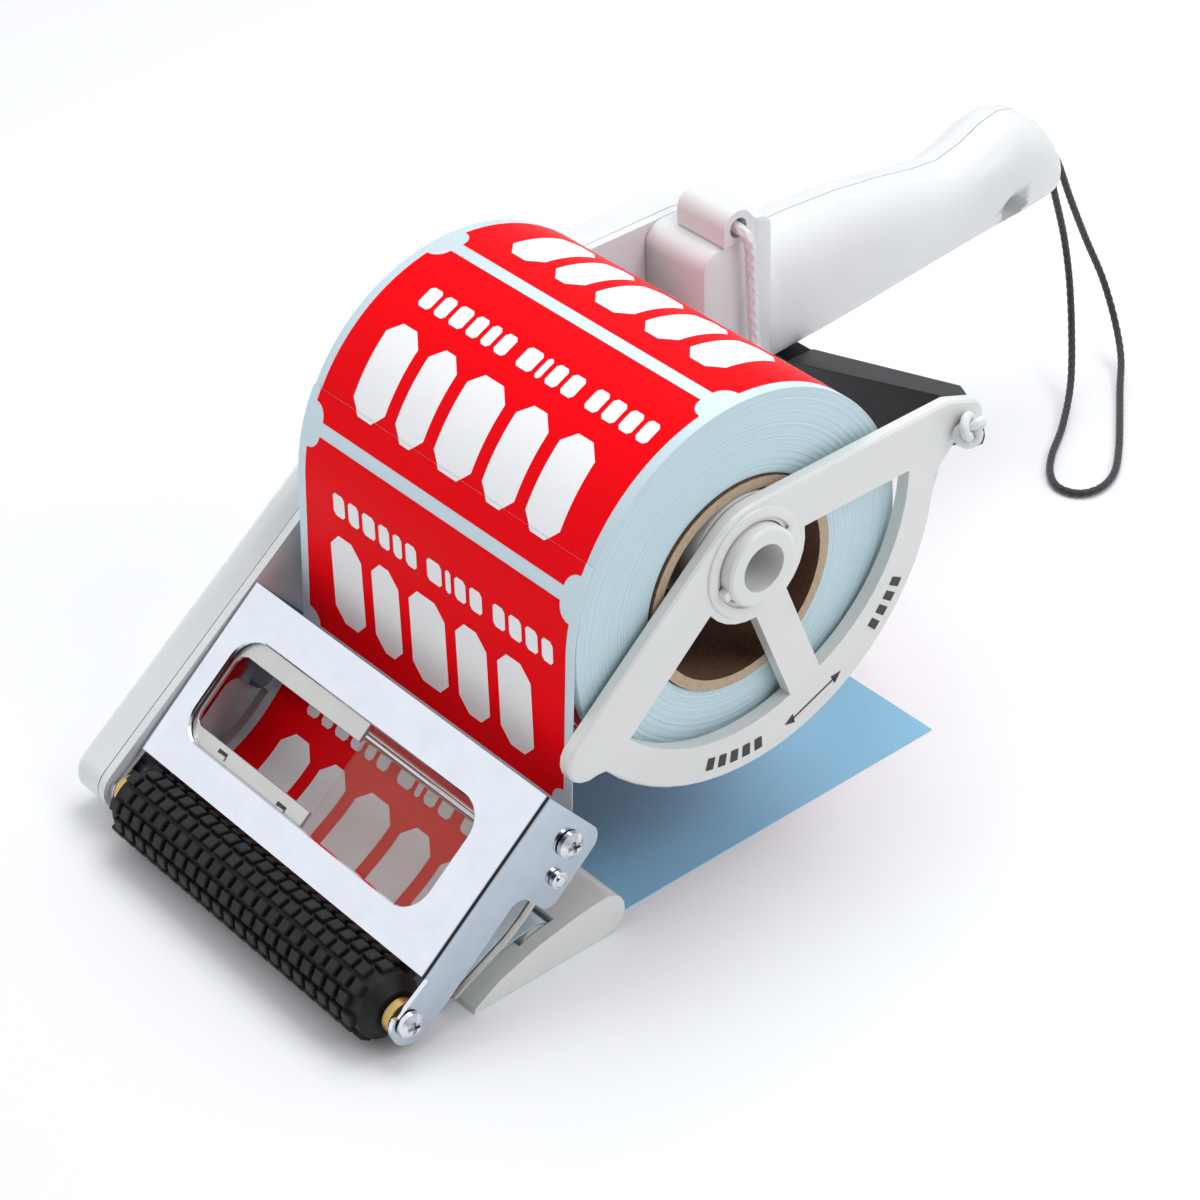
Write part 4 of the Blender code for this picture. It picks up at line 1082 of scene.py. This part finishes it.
def make_front_frame():
    """Front frame as one folded sheet: a face with its window and a flange round each fold."""
    low, high = span_of("front_frame")
    near, far = high.x - FOLD, low.x + FOLD
    corners = window_corners(near, far)
    outer, inner, faces = {}, {}, []
    edges = face_edge(corners)
    rings = (("rim", window_edge(0.0, corners), 0.4, 0.8), ("lip", window_edge(0.4, corners), 0.0, METAL))
    for name, points, above, below in (*rings, ("face", edges, 0.0, METAL)):
        for k, (x, s) in enumerate(points):
            outer[name, k] = (x, *face_point(s, above))
            inner[name, k] = (x, *face_point(s, below))
    count = len(edges)
    for k in range(count):
        after = (k + 1) % count
        for first, second in (("rim", "lip"), ("lip", "face")):
            faces.append([(first, k), (first, after), (second, after), (second, k)])
    turn = ARC_STEPS + 1
    half = ARC_STEPS // 2
    near_line = [*range(3 * turn + half, 4 * turn), *range(half + 1)]
    far_line = list(range(2 * turn + half, turn + half - 1, -1))
    for side, x, line in ((1, near, near_line), (-1, far, far_line)):
        rows = [[("face", k) for k in line]]
        for j in range(1, FOLD_STEPS + 1):
            angle = math.pi / 2 * j / FOLD_STEPS
            rows.append([(side, j, k) for k in line])
            for k in line:
                for places, radius in ((outer, FOLD), (inner, FOLD - METAL)):
                    depth = FOLD - radius * math.cos(angle)
                    spot = face_point(edges[k][1], depth)
                    places[side, j, k] = (x + side * radius * math.sin(angle), *spot)
        for row, following in zip(rows, rows[1:]):
            for m in range(len(line) - 1):
                faces.append([row[m], row[m + 1], following[m + 1], following[m]])
        ear = [(61.4, 0.9)]
        for centre, radius, start, end in FLANGE_EAR:
            for i in range(13):
                angle = math.radians(start + (end - start) * i / 12)
                ear.append((centre[0] + radius * math.cos(angle), centre[1] + radius * math.sin(angle)))
            if centre[0] > 60:
                ear += [(53.0, 12.2), (27.5, 11.9)]
        names = []
        for k, (s, h) in enumerate(ear):
            names.append((side, "ear", k))
            outer[names[-1]] = (x + side * FOLD, *face_point(s, h))
            inner[names[-1]] = (x + side * (FOLD - METAL), *face_point(s, h))
        faces.append(rows[-1] + names)
    bm = bmesh.new()
    sheet_metal(bm, faces, outer, inner)
    # Faces looking along X, the flanges, take the darker chrome copy, which is painted shade; the rest take
    # the bright copy, a painted reflection.
    for face in bm.faces:
        face.normal_update()
        face.material_index = 1 if abs(face.normal.x) > 0.8 else 0
    frame_sheet = piece("folded_front_frame", bm, ("chrome", "flange"), "housing", 32)
    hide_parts("front_frame")


def make_guide_slots():
    """Two pressed slots, each with its tab, in the steel guide's lower bar; each slot is a thin dark block
    of the mark colour, painted shade for the slot's hollow.
    """
    bm = bmesh.new()
    for x, s in ((-34.6, 39.0), (-9.0, 40.2)):
        for look, (dx, ds, reach, width, top, foot) in enumerate((
            (0.0, 0.0, 3.6, 1.1, 1.56, 1.7),
            (0.6, 0.9, 2.2, 1.0, 1.3, 1.7),
        )):
            loops = []
            for depth in (foot, top):
                corners = ((-1, -1), (1, -1), (1, 1), (-1, 1))
                loops.append([
                    (x + dx + a * reach / 2, *face_point(s + ds + b * width / 2, depth)) for a, b in corners
                ])
            skin(bm, loops, look=look)
    piece("guide_slots", bm, ("mark", "steel"), "housing", 30)


def make_holder_details():
    """Raised collar round the hub, a double arrow and two plain index marks on the rim."""
    near = span_of("roll_holder")[1].x
    bm = bmesh.new()
    profile = [(near - 0.3, 14.6), (near + 0.5, 14.3), (near + 0.7, 13.6)]
    profile += [(near + 0.7, 11.9), (near - 0.3, 11.6)]
    turned(bm, profile, HUB, 64, closed=True)
    piece("hub_collar", bm, ("white",), "holder", 40)
    bm = bmesh.new()
    face = near + 0.06
    arrow = ((-79.5, 1), (-58.5, -1))
    reach = 54.6
    for angle, side in arrow:
        tip = angle
        base = angle + side * 3.2
        flat_mark(bm, face, [(tip, reach), (base, reach - 1.5), (base, reach + 1.5)])
    low, high = reach - 0.25, reach + 0.25
    flat_mark(bm, face, [(-77.0, low), (-61.0, low), (-61.0, high), (-77.0, high)])
    for middle, bars in ((-97.0, 5), (-37.5, 4)):
        for i in range(bars):
            angle = middle + (i - (bars - 1) / 2) * 4.1
            corners = ((-1.25, -1.7), (1.25, -1.7), (1.25, 1.7), (-1.25, 1.7))
            flat_mark(bm, face, [(angle + a, reach + r) for a, r in corners])
    piece("holder_marks", bm, ("mark",), "holder", 40)


def flat_mark(bm, x, polar):
    """Thin printed mark from (angle, radius) corners about the hub."""
    loops = []
    for level in (x, x + 0.05):
        loop = []
        for angle, radius in polar:
            turn = math.radians(angle)
            loop.append((level, HUB[0] + radius * math.cos(turn), HUB[1] + radius * math.sin(turn)))
        loops.append(loop)
    skin(bm, loops)


# ---------------------------------------------------------------- finer copies of the moulded parts


def finer_copy(node, look, ease):
    """Copy of a CAD node with round surfaces shaded smooth and its sharp edges eased."""
    bm = bmesh.new()
    bm.from_mesh(NODES[node].data)
    bmesh.ops.remove_doubles(bm, verts=bm.verts, dist=2e-6)
    bmesh.ops.dissolve_limit(bm, angle_limit=math.radians(0.5), verts=bm.verts, edges=bm.edges)
    if ease:
        sharp = [e for e in bm.edges if len(e.link_faces) == 2 and e.calc_face_angle() > math.radians(40)]
        bmesh.ops.bevel(
            bm, geom=sharp, offset=ease * MM, offset_type="OFFSET", segments=2, profile=0.5,
            affect="EDGES", clamp_overlap=True,
        )
    bmesh.ops.triangulate(bm, faces=[f for f in bm.faces if len(f.verts) > 4])
    for vertex in bm.verts:
        vertex.co = (vertex.co - ROLL_CENTRE) / MM
    copy = piece(f"fine_{node}", bm, (look,), body_of(NODES[node])[0], 33)
    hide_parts(node)
    even = copy.modifiers.new("even_normals", "WEIGHTED_NORMAL")
    even.keep_sharp = True
    even.weight = 100


def make_copies():
    for node, (look, ease) in LOOKS.items():
        if node not in KEPT:
            finer_copy(node, look, ease)


def main():
    make_camera()
    make_stage()
    dress_nodes()
    make_cords()
    make_roll()
    make_web()
    make_studded_roller()
    make_front_frame()
    make_guide_slots()
    make_holder_details()
    make_copies()


main()
